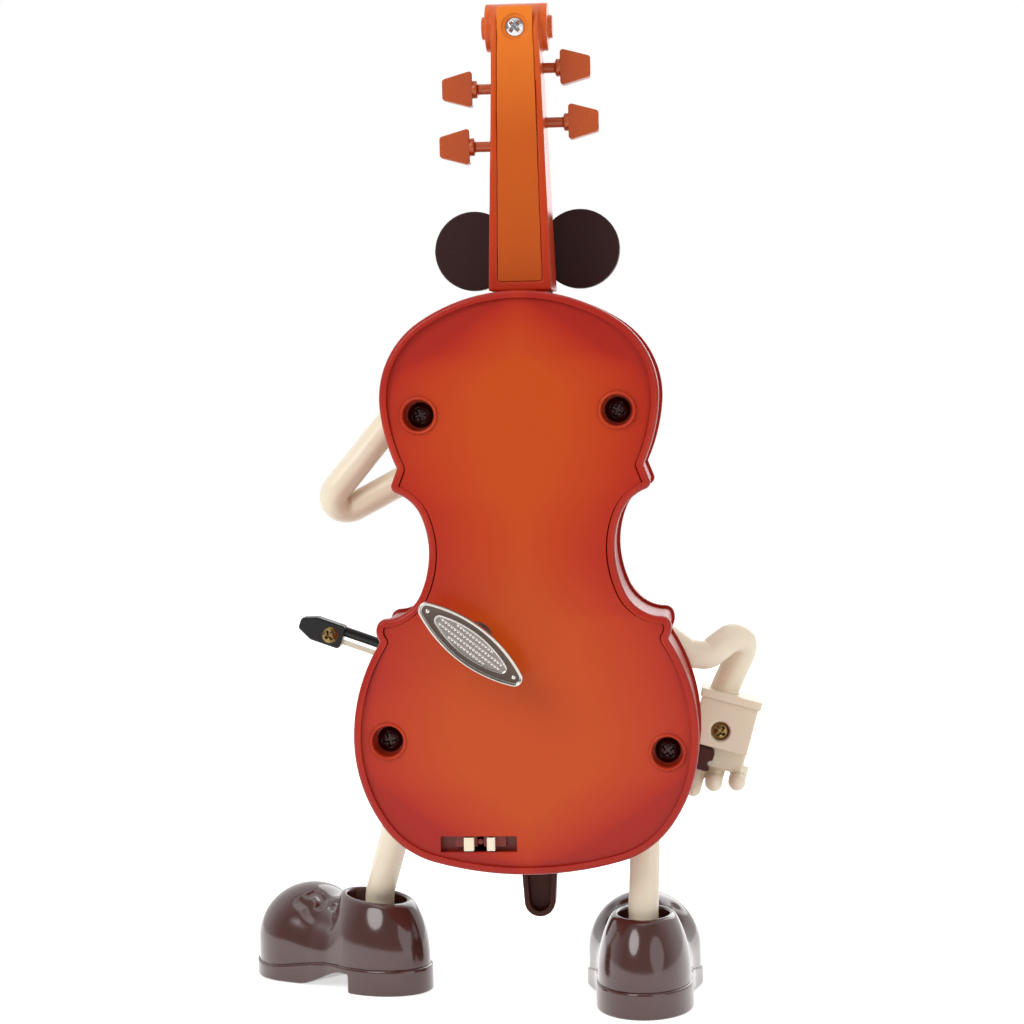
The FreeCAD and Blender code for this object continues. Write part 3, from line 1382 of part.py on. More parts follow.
def bow():
    place = Placement(Vector(0, size.bow_y, size.bow_z), Rotation(Vector(0, 1, 0), size.bow_degrees))
    stick = new_body("bow_stick")
    prism(stick, "Pad", "YZ_Plane", [disc(0, size.stick_rise, "stick_radius")],
          "bow_cap_end - cap_socket", "bow_stick_end")
    keep("bow_stick", stick, place)
    hair = new_body("bow_hair")
    low = size.hair_low
    ribbon = rectangle(-size.hair_half, size.hair_half, low, low + size.hair_thick)
    prism(hair, "Pad", "YZ_Plane", ribbon, "bow_cap_end", "frog_start")
    keep("bow_hair", hair, place)
    frog = new_body("bow_frog")
    side = rounded([(size.frog_start, size.frog_low), (size.frog_end, size.frog_low),
                    (size.frog_end, size.frog_top), (size.frog_start, size.frog_top)], size.stick_radius)
    prism(frog, "Pad", "XZ_Plane", side, "-frog_half", "frog_half")
    prism(frog, "Pocket", "YZ_Plane", [disc(0, size.stick_rise, "stick_hole_radius")],
          "frog_start - overrun", "bow_stick_end + seat_gap")
    notch = disc(size.frog_end, size.frog_low + size.stick_radius * 1.6, "hand_shank_radius")
    prism(frog, "Pocket", "XZ_Plane", [notch], "-frog_half - overrun", "frog_half + overrun")
    keep("bow_frog", frog, place)
    cap = new_body("bow_cap")
    tip, end = size.bow_tip_end, size.bow_cap_end
    side = rounded([(end, size.cap_low), (end, size.cap_top), (tip + 3 * size.stick_radius, size.cap_top),
                    (tip, size.cap_top * 0.4), (tip, size.cap_low * 0.5),
                    (tip + 3 * size.stick_radius, size.cap_low)], size.stick_radius * 0.7)
    prism(cap, "Pad", "XZ_Plane", side, "-cap_half", "cap_half")
    prism(cap, "Pocket", "YZ_Plane", [disc(0, size.stick_rise, "stick_hole_radius")],
          "bow_cap_end - cap_socket - seat_gap", "bow_cap_end + overrun")
    spot = size.tip_screw_at
    prism(cap, "Pocket", "XZ_Plane", [disc(spot, size.tip_screw_rise, "tip_shank_radius")],
          "-cap_half - overrun", "-cap_half + tip_shank_length + seat_gap")
    keep("bow_cap", cap, place)
    piece = screw("bow_tip_screw", "tip")
    seat = Placement(Vector(spot, -size.cap_half, size.tip_screw_rise), Rotation(Vector(1, 0, 0), 90))
    keep("bow_tip_screw", piece, place.multiply(seat))


# Key, spring and drive wheel


def at_arbor(degrees=0):
    return Placement(Vector(size.arbor_x, 0, size.arbor_z), Rotation(Vector(0, 1, 0), degrees))


def lens(half, high):
    """Outline of the key: two long arcs and a small arc at each end."""
    blunt = high * 0.24
    reach = half - blunt * 0.8
    return [Part.Arc(Vector(-reach, blunt, 0), Vector(0, high, 0), Vector(reach, blunt, 0)),
            Part.Arc(Vector(reach, blunt, 0), Vector(half, 0, 0), Vector(reach, -blunt, 0)),
            Part.Arc(Vector(reach, -blunt, 0), Vector(0, -high, 0), Vector(-reach, -blunt, 0)),
            Part.Arc(Vector(-reach, -blunt, 0), Vector(-half, 0, 0), Vector(-reach, blunt, 0))]


def winding_key():
    body = new_body("winding_key")
    half, high = size.key_length / 2, size.key_height / 2
    rim = size.key_rim
    prism(body, "Pad", "XZ_Plane", lens(half, high), "key_rear_y", "key_front_y")
    prism(body, "Pocket", "XZ_Plane", lens(half - 1.6 * rim, high - rim), "key_rear_y - overrun",
          "key_rear_y + key_sink")
    inner = lens((half - 1.6 * rim) * size.key_pad_share, (high - rim) * 0.8)
    prism(body, "Pad", "XZ_Plane", inner, "key_rear_y + key_sink / 4", "key_rear_y + key_thick / 2")
    prism(body, "Pad", "XZ_Plane", [disc(0, 0, "key_hub_radius")], "key_front_y - seat_gap",
          "key_front_y + key_hub_length")
    prism(body, "Pocket", "XZ_Plane", [disc(0, 0, "arbor_radius")], "key_front_y + overrun",
          "key_front_y + key_hub_length + overrun")
    dimples = [disc(side * half * 0.84, 0, "stop_post_radius") for side in (1, -1)]
    prism(body, "Pocket", "XZ_Plane", dimples, "key_rear_y - overrun", "key_rear_y + key_thick / 2")
    keep("winding_key", body, at_arbor(size.key_degrees))
    keep("winding_arbor", rod("winding_arbor", "y", "arbor_radius", "key_front_y + overrun",
                              "arbor_front_y", ("arbor_x", "arbor_z")))


def drive_wheel():
    body = new_body("drive_wheel")
    prism(body, "Pad", "XZ_Plane", [disc(0, 0, "wheel_radius")], "wheel_rear_y", "wheel_face_y")
    prism(body, "Pad", "XZ_Plane", [disc(0, 0, "stop_hub_radius")], "wheel_face_y - seat_gap",
          "arbor_front_y")
    prism(body, "Pocket", "XZ_Plane", [disc(0, 0, "arbor_radius")], "wheel_rear_y - overrun",
          "arbor_front_y + overrun")
    half = size.wheel_tooth_half
    tooth = rectangle(size.wheel_tooth_inner, size.wheel_tooth_outer, -half, half)
    feature = prism(body, "Pad", "XZ_Plane", tooth, "wheel_face_y - seat_gap", "wheel_tooth_top_y")
    ring_of(body, feature, "Y_Axis", size.wheel_teeth)
    keep("drive_wheel", body, at_arbor(size.wheel_phase_degrees))


def spring_and_cage():
    body = new_body("spring_cage")
    prism(body, "Pad", "XZ_Plane", [disc(0, 0, "cage_radius")], "bedplate_front_y", "cage_front_y")
    prism(body, "Pocket", "XZ_Plane", [disc(0, 0, "cage_inner_radius")], "bedplate_front_y + cage_wall",
          "cage_front_y + overrun")
    prism(body, "Pocket", "XZ_Plane", [disc(0, 0, "arbor_bore_radius")], "bedplate_front_y - overrun",
          "cage_front_y")
    keep("spring_cage", body, at_arbor())
    spring = new_body("mainspring")
    half = size.spring_thick / 2
    pitch = (size.cage_inner_radius - size.spring_inner_radius - 2 * half) / size.spring_turns
    count = 2 * size.spring_turns
    edges = {1: [], -1: []}
    for index in range(count):
        radius = size.spring_inner_radius + half + pitch / 2 * index
        middle = (1 if index % 2 else -1) * pitch / 4
        side = 1 if index % 2 else -1
        for lie in (1, -1):
            reach = radius + pitch / 4 + lie * half
            edges[lie].append(Part.Arc(Vector(middle - side * reach, 0, 0), Vector(middle, -side * reach, 0),
                                       Vector(middle + side * reach, 0, 0)))
    shapes = edges[1] + edges[-1]
    shapes.append(Part.LineSegment(edges[1][0].StartPoint, edges[-1][0].StartPoint))
    shapes.append(Part.LineSegment(edges[1][-1].EndPoint, edges[-1][-1].EndPoint))
    prism(spring, "Pad", "XZ_Plane", shapes, "bedplate_front_y + 2 * cage_wall", "cage_front_y - cage_wall")
    keep("mainspring", spring, at_arbor())


# Musical cylinder, comb and crank


def on_cylinder_axis(z):
    return Placement(Vector(0, size.cylinder_y, z), Rotation())


def gear_outline(teeth, root, tip, half_root, half_tip):
    """A gear as one closed line round its teeth, centred on the origin."""
    points = []
    for index in range(teeth):
        angle = 2 * math.pi * index / teeth
        for radius, half in ((root, -half_root), (tip, -half_tip), (tip, half_tip), (root, half_root)):
            turned = angle + half / radius
            points.append((radius * math.cos(turned), radius * math.sin(turned)))
    return polygon(points)


# Rows of pins: the plane each is drawn on, how often it is repeated round the cylinder, and its tracks
PIN_ROWS = [
    ("XY_Plane", 3, (0, 3, 7, 12, 16)),
    ("XZ_Plane", 4, (1, 5, 9, 14)),
    ("XY_Plane", 5, (2, 6, 10, 17)),
    ("XZ_Plane", 4, (4, 8, 11, 13, 15)),
]


def cylinder():
    body = new_body("pinned_cylinder")
    prism(body, "Pad", "YZ_Plane", [disc(0, 0, "cylinder_radius")], "cylinder_left_x", "cylinder_right_x")
    prism(body, "Pad", "YZ_Plane", [disc(0, 0, "cylinder_shaft_radius")], "cylinder_shaft_left_x",
          "cylinder_shaft_right_x")
    half = size.cylinder_pin / 2.6
    for number, (role, count, tracks) in enumerate(PIN_ROWS):
        squares = []
        for track in tracks:
            middle = size.cylinder_left_x + size.comb_pitch * (track + 0.5)
            lift = size.cylinder_pin * (number - 1.5)
            squares += rectangle(middle - half, middle + half, lift - half, lift + half)
        feature = prism(body, "Pad", role, squares, "cylinder_radius - cylinder_pin",
                        "cylinder_radius + cylinder_pin")
        ring_of(body, feature, "X_Axis", count)
    pinion = gear_outline(size.pinion_teeth, size.pinion_root, size.pinion_tip, size.pinion_half_root,
                          size.pinion_half_tip)
    prism(body, "Pad", "YZ_Plane", pinion, "pinion_left_x", "pinion_right_x")
    keep("pinned_cylinder", body, on_cylinder_axis(size.arbor_z))
    gear = new_body("cylinder_gear")
    shapes = gear_outline(size.gear_teeth, size.gear_root, size.gear_tip, size.gear_half_root,
                          size.gear_half_tip)
    prism(gear, "Pad", "YZ_Plane", shapes, "gear_left_x", "gear_left_x + gear_width")
    prism(gear, "Pocket", "YZ_Plane", [disc(0, 0, "cylinder_shaft_radius")], "gear_left_x - overrun",
          "gear_left_x + gear_width + overrun")
    keep("cylinder_gear", gear, on_cylinder_axis(size.arbor_z))


def crank():
    body = new_body("crank_shaft")
    prism(body, "Pad", "YZ_Plane", [disc(0, 0, "cylinder_shaft_radius")], "crank_shaft_left_x",
          "crank_disc_x + seat_gap")
    shapes = gear_outline(size.pinion_teeth, size.crank_pinion_root, size.crank_pinion_tip,
                          size.crank_half_root, size.crank_half_tip)
    prism(body, "Pad", "YZ_Plane", shapes, "gear_left_x", "gear_left_x + gear_width")
    prism(body, "Pad", "YZ_Plane", [disc(0, 0, "crank_disc_radius")], "crank_disc_x",
          "crank_disc_x + crank_disc_thick")
    prism(body, "Pad", "YZ_Plane", [disc(0, size.crank_throw, "crank_pin_radius")],
          "crank_disc_x + crank_disc_thick - seat_gap", "crank_pin_end_x")
    keep("crank_shaft", body, Placement(Vector(0, size.cylinder_y, size.crank_z),
                                        Rotation(Vector(1, 0, 0), size.crank_phase_degrees)))


def comb():
    body = new_body("comb")
    prism(body, "Pad", "XZ_Plane", rectangle(size.cylinder_left_x, size.cylinder_right_x, size.comb_low_z,
                                             size.comb_tip_z), "comb_rear_y", "comb_front_y")
    slits = []
    for track in range(1, size.comb_teeth):
        middle = size.cylinder_left_x + size.comb_pitch * track
        slits += rectangle(middle - size.comb_slit / 2, middle + size.comb_slit / 2, size.comb_root_z,
                           size.comb_tip_z + size.overrun)
    prism(body, "Pocket", "XZ_Plane", slits, "comb_rear_y - overrun", "comb_front_y + overrun")
    prism(body, "Pocket", "XZ_Plane", [disc(x, z, "small_shank_radius") for x, z in comb_spots()],
          "comb_rear_y - overrun", "comb_front_y + overrun")
    keep("comb", body)
    block = new_body("comb_block")
    prism(block, "Pad", "XZ_Plane", rectangle(size.cylinder_left_x, size.cylinder_right_x,
                                              size.comb_block_low_z, size.comb_block_high_z),
          "bedplate_front_y", "comb_rear_y")
    prism(block, "Pocket", "XZ_Plane", [disc(x, z, "small_shank_radius") for x, z in comb_spots()],
          "comb_rear_y - small_shank_length", "comb_rear_y + overrun")
    keep("comb_block", block)
    screws = []
    for number, (x, z) in enumerate(comb_spots(), 1):
        piece = screw("comb_screw_%d" % number, "small")
        piece.Placement = facing_front(x, size.comb_front_y, z)
        screws.append(piece)
    keep("comb_screws", group("comb_screws", screws))


def comb_spots():
    middle = (size.comb_block_low_z + size.comb_block_high_z) / 2
    span = size.cylinder_right_x - size.cylinder_left_x
    return [(size.cylinder_left_x + span * share, middle) for share in (0.2, 0.8)]


def bedplate():
    body = new_body("bedplate")
    prism(body, "Pad", "XZ_Plane", polygon(BEDPLATE_CORNERS), "bedplate_y", "bedplate_front_y")
    prism(body, "Pocket", "XZ_Plane", [disc(size.arbor_x, size.arbor_z, "arbor_bore_radius")],
          "bedplate_y - overrun", "bedplate_front_y + overrun")
    prism(body, "Pocket", "XZ_Plane",
          [disc(x, z, "small_hole_radius") for x, z in places_of(MOVEMENT_SCREWS)],
          "bedplate_y - overrun", "bedplate_front_y + overrun")
    keep("bedplate", body)
    screws = []
    for number, (x, z) in enumerate(places_of(MOVEMENT_SCREWS), 1):
        piece = screw("movement_screw_%d" % number, "small")
        piece.Placement = facing_front(x, size.bedplate_front_y, z)
        screws.append(piece)
    keep("movement_screws", group("movement_screws", screws))


def bearings():
    left = new_body("left_bearing")
    front = size.cylinder_y + size.bearing_eye * 0.9
    rear = size.cylinder_y - size.bearing_eye * 0.4
    top = size.arbor_z + size.bearing_foot_rise
    foot = top - size.bearing_thick
    shapes = polygon([(size.bedplate_front_y, foot), (rear, foot), (rear, size.arbor_z),
                      (front, size.arbor_z), (front, top), (size.bedplate_front_y, top)])
    prism(left, "Pad", "YZ_Plane", shapes, "bearing_left_x", "bearing_left_x + bearing_thick")
    eye = [disc(size.cylinder_y, size.arbor_z, "bearing_eye")]
    prism(left, "Pad", "YZ_Plane", eye, "bearing_left_x", "bearing_left_x + bearing_thick")
    bore = [disc(size.cylinder_y, size.arbor_z, "shaft_bore_radius")]
    prism(left, "Pocket", "YZ_Plane", bore, "bearing_left_x - overrun",
          "bearing_left_x + bearing_thick + overrun")
    keep("left_bearing", left)
    right = new_body("right_bearing")
    plate = rectangle(size.bedplate_front_y, front, size.crank_z - size.bearing_thick * 3,
                      size.arbor_z + size.bearing_thick * 3)
    prism(right, "Pad", "YZ_Plane", plate, "bearing_right_x", "bearing_right_x + bearing_thick")
    bores = [disc(size.cylinder_y, z, "shaft_bore_radius") for z in (size.arbor_z, size.crank_z)]
    prism(right, "Pocket", "YZ_Plane", bores, "bearing_right_x - overrun",
          "bearing_right_x + bearing_thick + overrun")
    keep("right_bearing", right)
    housing = new_body("governor_housing")
    prism(housing, "Pad", "YZ_Plane", rectangle(size.bedplate_front_y, size.housing_front_y,
                                                size.housing_low_z, size.housing_high_z),
          "housing_left_x", "housing_right_x")
    prism(housing, "Pocket", "YZ_Plane", [disc(size.cylinder_y, size.crank_z, "shaft_bore_radius")],
          "housing_left_x - overrun", "housing_right_x + overrun")
    keep("governor_housing", housing)


def bow_drive():
    lever = new_body("arm_lever")
    x, z = size.arm_shaft_x, size.arm_shaft_z
    prism(lever, "Pad", "XZ_Plane", [disc(x, z, "lever_hub_radius")], "lever_y", "lever_front_y")
    end = (size.tab_x + size.tab_thick / 2, size.crank_z + size.tab_half)
    knee = (size.lever_knee_x, size.lever_knee_z)
    for start, stop in (((x, z), knee), (knee, end)):
        prism(lever, "Pad", "XZ_Plane", bar(start, stop, size.lever_half), "lever_y", "lever_front_y")
    prism(lever, "Pad", "XZ_Plane", [disc(*knee, "lever_half")], "lever_y", "lever_front_y")
    low, high = size.crank_z - size.tab_half, size.crank_z + size.tab_half
    prism(lever, "Pad", "YZ_Plane", rectangle(size.tab_rear_y, size.lever_front_y, low, high), "tab_x",
          "tab_x + tab_thick")
    wide, tall = size.window_half_y, size.window_half_z
    window = rectangle(size.cylinder_y - wide, size.cylinder_y + wide, size.crank_z - tall,
                       size.crank_z + tall)
    prism(lever, "Pocket", "YZ_Plane", window, "tab_x - overrun", "tab_x + tab_thick + overrun")
    prism(lever, "Pocket", "XZ_Plane", [disc(x, z, "arm_shaft_radius")], "lever_y - overrun",
          "lever_front_y + overrun")
    keep("arm_lever", lever)
    keep("arm_shaft", rod("arm_shaft", "y", "arm_shaft_radius", "lever_y", "arm_shaft_front_y",
                          ("arm_shaft_x", "arm_shaft_z")))
    bush = new_body("arm_bush")
    prism(bush, "Pad", "XZ_Plane", [disc(x, z, "bush_radius")], "bush_rear_y", "bush_front_y")
    prism(bush, "Pocket", "XZ_Plane", [disc(x, z, "shaft_hole_radius")], "bush_rear_y - overrun",
          "bush_front_y + overrun")
    keep("arm_bush", bush)


# Stop switch


def stop_switch():
    slider = new_body("switch_slider")
    base = rectangle(size.slider_left_x, size.slider_right_x, size.slider_low_z, size.slider_high_z)
    prism(slider, "Pad", "XZ_Plane", base, "slider_y", "slider_front_y")
    for middle, width in ((size.prong_left_x, size.prong_left_width),
                          (size.prong_right_x, size.prong_right_width)):
        prong = rectangle(middle - width / 2, middle + width / 2, size.slot_z - size.prong_height / 2,
                          size.slot_z + size.prong_height / 2)
        prism(slider, "Pad", "XZ_Plane", prong, "prong_rear_y", "slider_y + seat_gap")
    half = size.stop_post_radius + 2 * size.running_gap
    fork = rectangle(size.stop_pivot_x - half, size.stop_pivot_x + half, size.slider_low_z - size.overrun,
                     size.stop_post_z + 2 * size.overrun)
    prism(slider, "Pocket", "XZ_Plane", fork, "slider_y - overrun", "slider_front_y + overrun")
    keep("switch_slider", slider)
    keep("switch_retainer", box("switch_retainer", [
        ("retainer_left_x", "retainer_right_x"), ("retainer_y", "retainer_y + retainer_thick"),
        ("retainer_low_z", "retainer_high_z")]))
    lever = new_body("stop_lever")
    x, z = size.stop_pivot_x, size.stop_pivot_z
    prism(lever, "Pad", "XZ_Plane", [disc(x, z, "stop_hub_radius")], "stop_y", "stop_front_y")
    half = size.stop_half
    down = rectangle(x - half, x + half, size.stop_post_z - half, z)
    prism(lever, "Pad", "XZ_Plane", down, "stop_y", "stop_front_y")
    finger_x, finger_z = size.stop_finger_x, size.stop_finger_z
    arm = polygon([(x, z - half), (finger_x - half, finger_z - half - size.overrun),
                   (finger_x + half, finger_z - half - size.overrun), (finger_x + half, finger_z + half),
                   (finger_x - half, finger_z + half), (finger_x - half, finger_z), (x, z + half)])
    prism(lever, "Pad", "XZ_Plane", arm, "stop_y", "stop_front_y")
    prism(lever, "Pocket", "XZ_Plane", [disc(x, z, "stop_bore_radius")], "stop_y - overrun",
          "stop_front_y + overrun")
    post = [disc(x, size.stop_post_z, "stop_post_radius")]
    prism(lever, "Pad", "XZ_Plane", post, "slider_y - seat_gap", "stop_y + seat_gap")
    keep("stop_lever", lever)


def settle():
    """Moves every sub-part so that the origin lies on the floor under the middle of the whole."""
    document.recompute()
    whole = Part.makeCompound([item.Shape for item in kept.values()]).optimalBoundingBox(False, False)
    shift = Vector(-whole.Center.x, -whole.Center.y, -whole.ZMin)
    row = len(vars(size)) + 1
    for axis, value in zip("xyz", shift):
        sheet.set("A%d" % row, "shift_" + axis)
        sheet.set("B%d" % row, str(value))
        sheet.setAlias("B%d" % row, "shift_" + axis)
        row += 1
    for item in kept.values():
        placed = {path[-1]: text for path, text in item.ExpressionEngine if "Placement.Base" in path}
        for axis, value in zip("xyz", shift):
            if axis in placed:
                text = "(%s) + Sizes.shift_%s" % (placed[axis], axis)
                item.setExpression("Placement.Base." + axis, text)
        bare = Vector(*[0 if axis in placed else value for axis, value in zip("xyz", shift)])
        item.Placement = Placement(item.Placement.Base + bare, item.Placement.Rotation)
    document.recompute()
    print("shift %.6f %.6f %.6f" % tuple(shift))
    print("box %.4f %.4f %.4f" % (whole.XLength, whole.YLength, whole.ZLength))


def write_parts():
    for item in document.Objects:
        if "Invalid" in item.State or "Error" in item.State:
            raise RuntimeError("failed object: %s %s" % (item.Label, item.getStatusString()))
    os.makedirs("parts", exist_ok=True)
    for label, item in kept.items():
        shape = item.Shape
        if shape.isNull() or not shape.isValid():
            raise RuntimeError("bad shape: " + label)
        shape.exportStep("parts/%s.step" % label)


for build in (back_shell, front_shell, case_screws, neck_shell, neck_cover, pegs, fingerboard, nut_and_bridge,
              strings, tailpiece, bow_tie, legs, shoes):
    build()
for side in HANDS:
    hand(side)
for build in (arms, bow, winding_key, drive_wheel, spring_and_cage, cylinder, crank, comb, bedplate, bearings,
              bow_drive, stop_switch):
    build()
settle()
write_parts()
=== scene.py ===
import functools
import json
import math

import bmesh
import bpy
from mathutils import Matrix, Vector
import numpy as np
import openvdb


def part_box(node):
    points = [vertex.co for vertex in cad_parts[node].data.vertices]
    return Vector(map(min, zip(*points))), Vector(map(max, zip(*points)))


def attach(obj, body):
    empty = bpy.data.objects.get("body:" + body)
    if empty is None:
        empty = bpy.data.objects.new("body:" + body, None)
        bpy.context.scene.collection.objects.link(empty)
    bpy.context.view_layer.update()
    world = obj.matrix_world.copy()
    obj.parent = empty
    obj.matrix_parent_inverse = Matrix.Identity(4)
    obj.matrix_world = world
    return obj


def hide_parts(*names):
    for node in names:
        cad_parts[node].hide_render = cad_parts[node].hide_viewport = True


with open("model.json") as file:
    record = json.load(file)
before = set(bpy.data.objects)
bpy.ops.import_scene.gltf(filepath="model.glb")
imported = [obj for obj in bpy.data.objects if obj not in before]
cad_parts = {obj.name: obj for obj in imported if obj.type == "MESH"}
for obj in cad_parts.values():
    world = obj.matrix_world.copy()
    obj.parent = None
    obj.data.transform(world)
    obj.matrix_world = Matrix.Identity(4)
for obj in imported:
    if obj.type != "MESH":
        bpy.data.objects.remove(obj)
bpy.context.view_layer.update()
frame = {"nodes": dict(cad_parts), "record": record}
scene = bpy.context.scene
nodes = frame["nodes"]
print("frame loaded:", len(nodes), "nodes")

mm = 0.001

# the cello's centre line, found from the back shell: places count from it, y from a plane this many mm
# in front of the shell's edge, and z from the floor
planeFromEdge = 5.3
backLow, backHigh = (Vector(corner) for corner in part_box("back_shell"))
celloAxis = Vector(((backLow.x + backHigh.x) / 2, backHigh.y + planeFromEdge * mm, 0.0))


def place(x, y, z):
    # a spot given in millimetres from the cello's centre line and the floor
    return celloAxis + Vector((x, y, z)) * mm


def linear(hexColour):
    # sRGB hex text to the linear colour that the shader wants
    channels = [int(hexColour[i:i + 2], 16) / 255 for i in (1, 3, 5)]
    return tuple(c / 12.92 if c <= 0.04045 else ((c + 0.055) / 1.055) ** 2.4 for c in channels) + (1.0,)


def addNode(tree, kind, inputs=None, **settings):
    # adds a node, sets its properties, then its inputs by name or number: a socket makes a link
    node = tree.nodes.new(kind)
    for name, value in settings.items():
        setattr(node, name, value)
    for name, value in (inputs or {}).items():
        if isinstance(value, bpy.types.NodeSocket):
            tree.links.new(value, node.inputs[name])
        else:
            node.inputs[name].default_value = value
    return node


# Materials


def newMaterial(name, **settings):
    # an empty material with its shader, ready for links
    material = bpy.data.materials.new(name)
    material.use_nodes = True
    tree = material.node_tree
    tree.nodes.clear()
    shader = addNode(tree, "ShaderNodeBsdfPrincipled")
    for socket, value in settings.items():
        shader.inputs[socket].default_value = value
    output = addNode(tree, "ShaderNodeOutputMaterial")
    tree.links.new(shader.outputs["BSDF"], output.inputs["Surface"])
    return material, tree, shader


def scaleFor(sizeInMm):
    # noise scale whose blobs are about this many millimetres across
    return 1 / (sizeInMm * mm)


def setRamp(ramp, stops):
    elements = ramp.color_ramp.elements
    while len(elements) > 1:
        elements.remove(elements[-1])
    for index, (position, colour) in enumerate(stops):
        element = elements[0] if index == 0 else elements.new(position)
        element.position = position
        element.color = linear(colour)


def addSkin(tree, shader, waveMm, waveDepth, roughness, spread, grainMm=0.35, grainDepth=0.0015):
    # the slight waviness, fine grain and uneven gloss of a moulded or plated surface
    spot = addNode(tree, "ShaderNodeTexCoord").outputs["Object"]
    wave = addNode(tree, "ShaderNodeTexNoise", {"Vector": spot, "Scale": scaleFor(waveMm), "Detail": 3.0})
    grain = addNode(tree, "ShaderNodeTexNoise", {"Vector": spot, "Scale": scaleFor(grainMm), "Detail": 2.0})
    broad = addNode(tree, "ShaderNodeBump", {"Height": wave.outputs["Fac"], "Distance": waveDepth * mm})
    fine = addNode(tree, "ShaderNodeBump", {"Height": grain.outputs["Fac"], "Distance": grainDepth * mm,
                                            "Normal": broad.outputs["Normal"]})
    tree.links.new(fine.outputs["Normal"], shader.inputs["Normal"])
    both = addNode(tree, "ShaderNodeMath", {0: wave.outputs["Fac"], 1: grain.outputs["Fac"]}, operation="ADD")
    patch = addNode(tree, "ShaderNodeMapRange", {
        "Value": both.outputs[0], "From Min": 0.6, "From Max": 1.4,
        "To Min": roughness - spread, "To Max": roughness + spread})
    tree.links.new(patch.outputs["Result"], shader.inputs["Roughness"])
    return spot, wave


def mouldedPlastic(name, colour, shade, roughness=0.25, spread=0.05, waveMm=9.0, waveDepth=0.02,
                   coat=0.0, glow=0.0, specular=0.5):
    # injection moulded: smooth, slightly wavy, its colour a touch uneven
    settings = {"IOR": 1.53, "Specular IOR Level": specular, "Coat Weight": coat, "Coat Roughness": 0.1}
    if glow:
        settings.update({"Subsurface Weight": glow, "Subsurface Scale": 1.2 * mm})
    material, tree, shader = newMaterial(name, **settings)
    wave = addSkin(tree, shader, waveMm, waveDepth, roughness, spread)[1]
    tone = addNode(tree, "ShaderNodeMix", {0: wave.outputs["Fac"], 6: linear(colour), 7: linear(shade)},
                   data_type="RGBA")
    tree.links.new(tone.outputs[2], shader.inputs["Base Color"])
    return material


def platedMetal(name, colour, roughness=0.25, grainMm=0.6, grainDepth=0.004):
    # plated steel or brass: a metal with fine wear in its gloss, in patches six grains wide
    material, tree, shader = newMaterial(name, **{"Metallic": 1.0, "Base Color": linear(colour)})
    addSkin(tree, shader, waveMm=grainMm * 6, waveDepth=grainDepth, roughness=roughness, spread=0.07,
            grainMm=grainMm, grainDepth=grainDepth)
    return material


# Sunburst spray: orange in the middle of a bout, deep red at its edge
sunburst = {
    # share of the way in from the edge, and the colour there
    "stops": ((0.0, "#9E1E10"), (0.10, "#A8240E"), (0.42, "#B2340D"), (0.95, "#B9430B")),
    # half width of the cello at heights above the floor, in mm
    "halfWidths": ((29.5, 2.0), (33.0, 8.0), (38.0, 16.0), (45.0, 26.0), (57.3, 35.05), (70.0, 32.0),
                   (80.0, 28.6), (84.0, 22.5), (94.0, 18.9), (103.0, 20.6), (109.0, 25.0), (124.6, 28.15),
                   (136.0, 16.0), (143.0, 7.0), (147.7, 2.0)),
    "low": 25.0, "high": 152.0, "widest": 40.0,
    # the colour starts to turn this far in from the edge, is full orange at the fade, and wanders a little
    "start": 2.0, "fade": 24.0, "wander": 5.0,
}


def sunburstPlastic(name):
    # the colour follows the distance from the cello's edge, worked out from the half width at each height
    material, tree, shader = newMaterial(name, **{"IOR": 1.5, "Specular IOR Level": 0.2, "Coat Weight": 0.12,
                                                  "Coat Roughness": 0.12})
    spot, wave = addSkin(tree, shader, waveMm=16.0, waveDepth=0.05, roughness=0.36, spread=0.04)
    centred = addNode(tree, "ShaderNodeVectorMath", {0: spot, 1: place(0, 0, 0)}, operation="SUBTRACT")
    parts = addNode(tree, "ShaderNodeSeparateXYZ", {0: centred.outputs[0]})
    across = addNode(tree, "ShaderNodeMath", {0: parts.outputs["X"]}, operation="ABSOLUTE")
    low, high, widest = (sunburst[key] for key in ("low", "high", "widest"))
    height = addNode(tree, "ShaderNodeMapRange", {"Value": parts.outputs["Z"], "From Min": low * mm,
                                                  "From Max": high * mm})
    curve = addNode(tree, "ShaderNodeFloatCurve", {"Value": height.outputs["Result"]})
    points = curve.mapping.curves[0].points
    wanted = [((z - low) / (high - low), half / widest) for z, half in sunburst["halfWidths"]]
    points[0].location = (0.0, wanted[0][1])
    points[1].location = (1.0, wanted[-1][1])
    for x, y in wanted:
        points.new(x, y)
    curve.mapping.update()
    half = addNode(tree, "ShaderNodeMath", {0: curve.outputs["Value"], 1: widest * mm}, operation="MULTIPLY")
    gap = addNode(tree, "ShaderNodeMath", {0: half.outputs[0], 1: across.outputs[0]}, operation="SUBTRACT")
    # millimetres in from the edge, blurred a little as a spray gun does, then the colour there
    blur = addNode(tree, "ShaderNodeMath", {0: wave.outputs["Fac"], 1: sunburst["wander"] * mm,
                                            2: gap.outputs[0]}, operation="MULTIPLY_ADD")
    inside = addNode(tree, "ShaderNodeMapRange", {"Value": blur.outputs[0],
                                                  "From Min": sunburst["start"] * mm,
                                                  "From Max": sunburst["fade"] * mm})
    ramp = addNode(tree, "ShaderNodeValToRGB", {"Fac": inside.outputs["Result"]})
    setRamp(ramp, sunburst["stops"])
    tree.links.new(ramp.outputs["Color"], shader.inputs["Base Color"])
    return material


# Neck and cover colours: lighter towards the head, where the lightening is a painted highlight on the head
# that tilts up to the light, between these heights in mm
neckSprayAndHighlight = {
    "low": 148, "high": 206,
    "neck": ((0.0, "#AE2C10"), (0.6, "#BA400C"), (1.0, "#CC5A20")),
    "cover": ((0.0, "#B44C10"), (0.55, "#BB5413"), (1.0, "#E27822")),
}


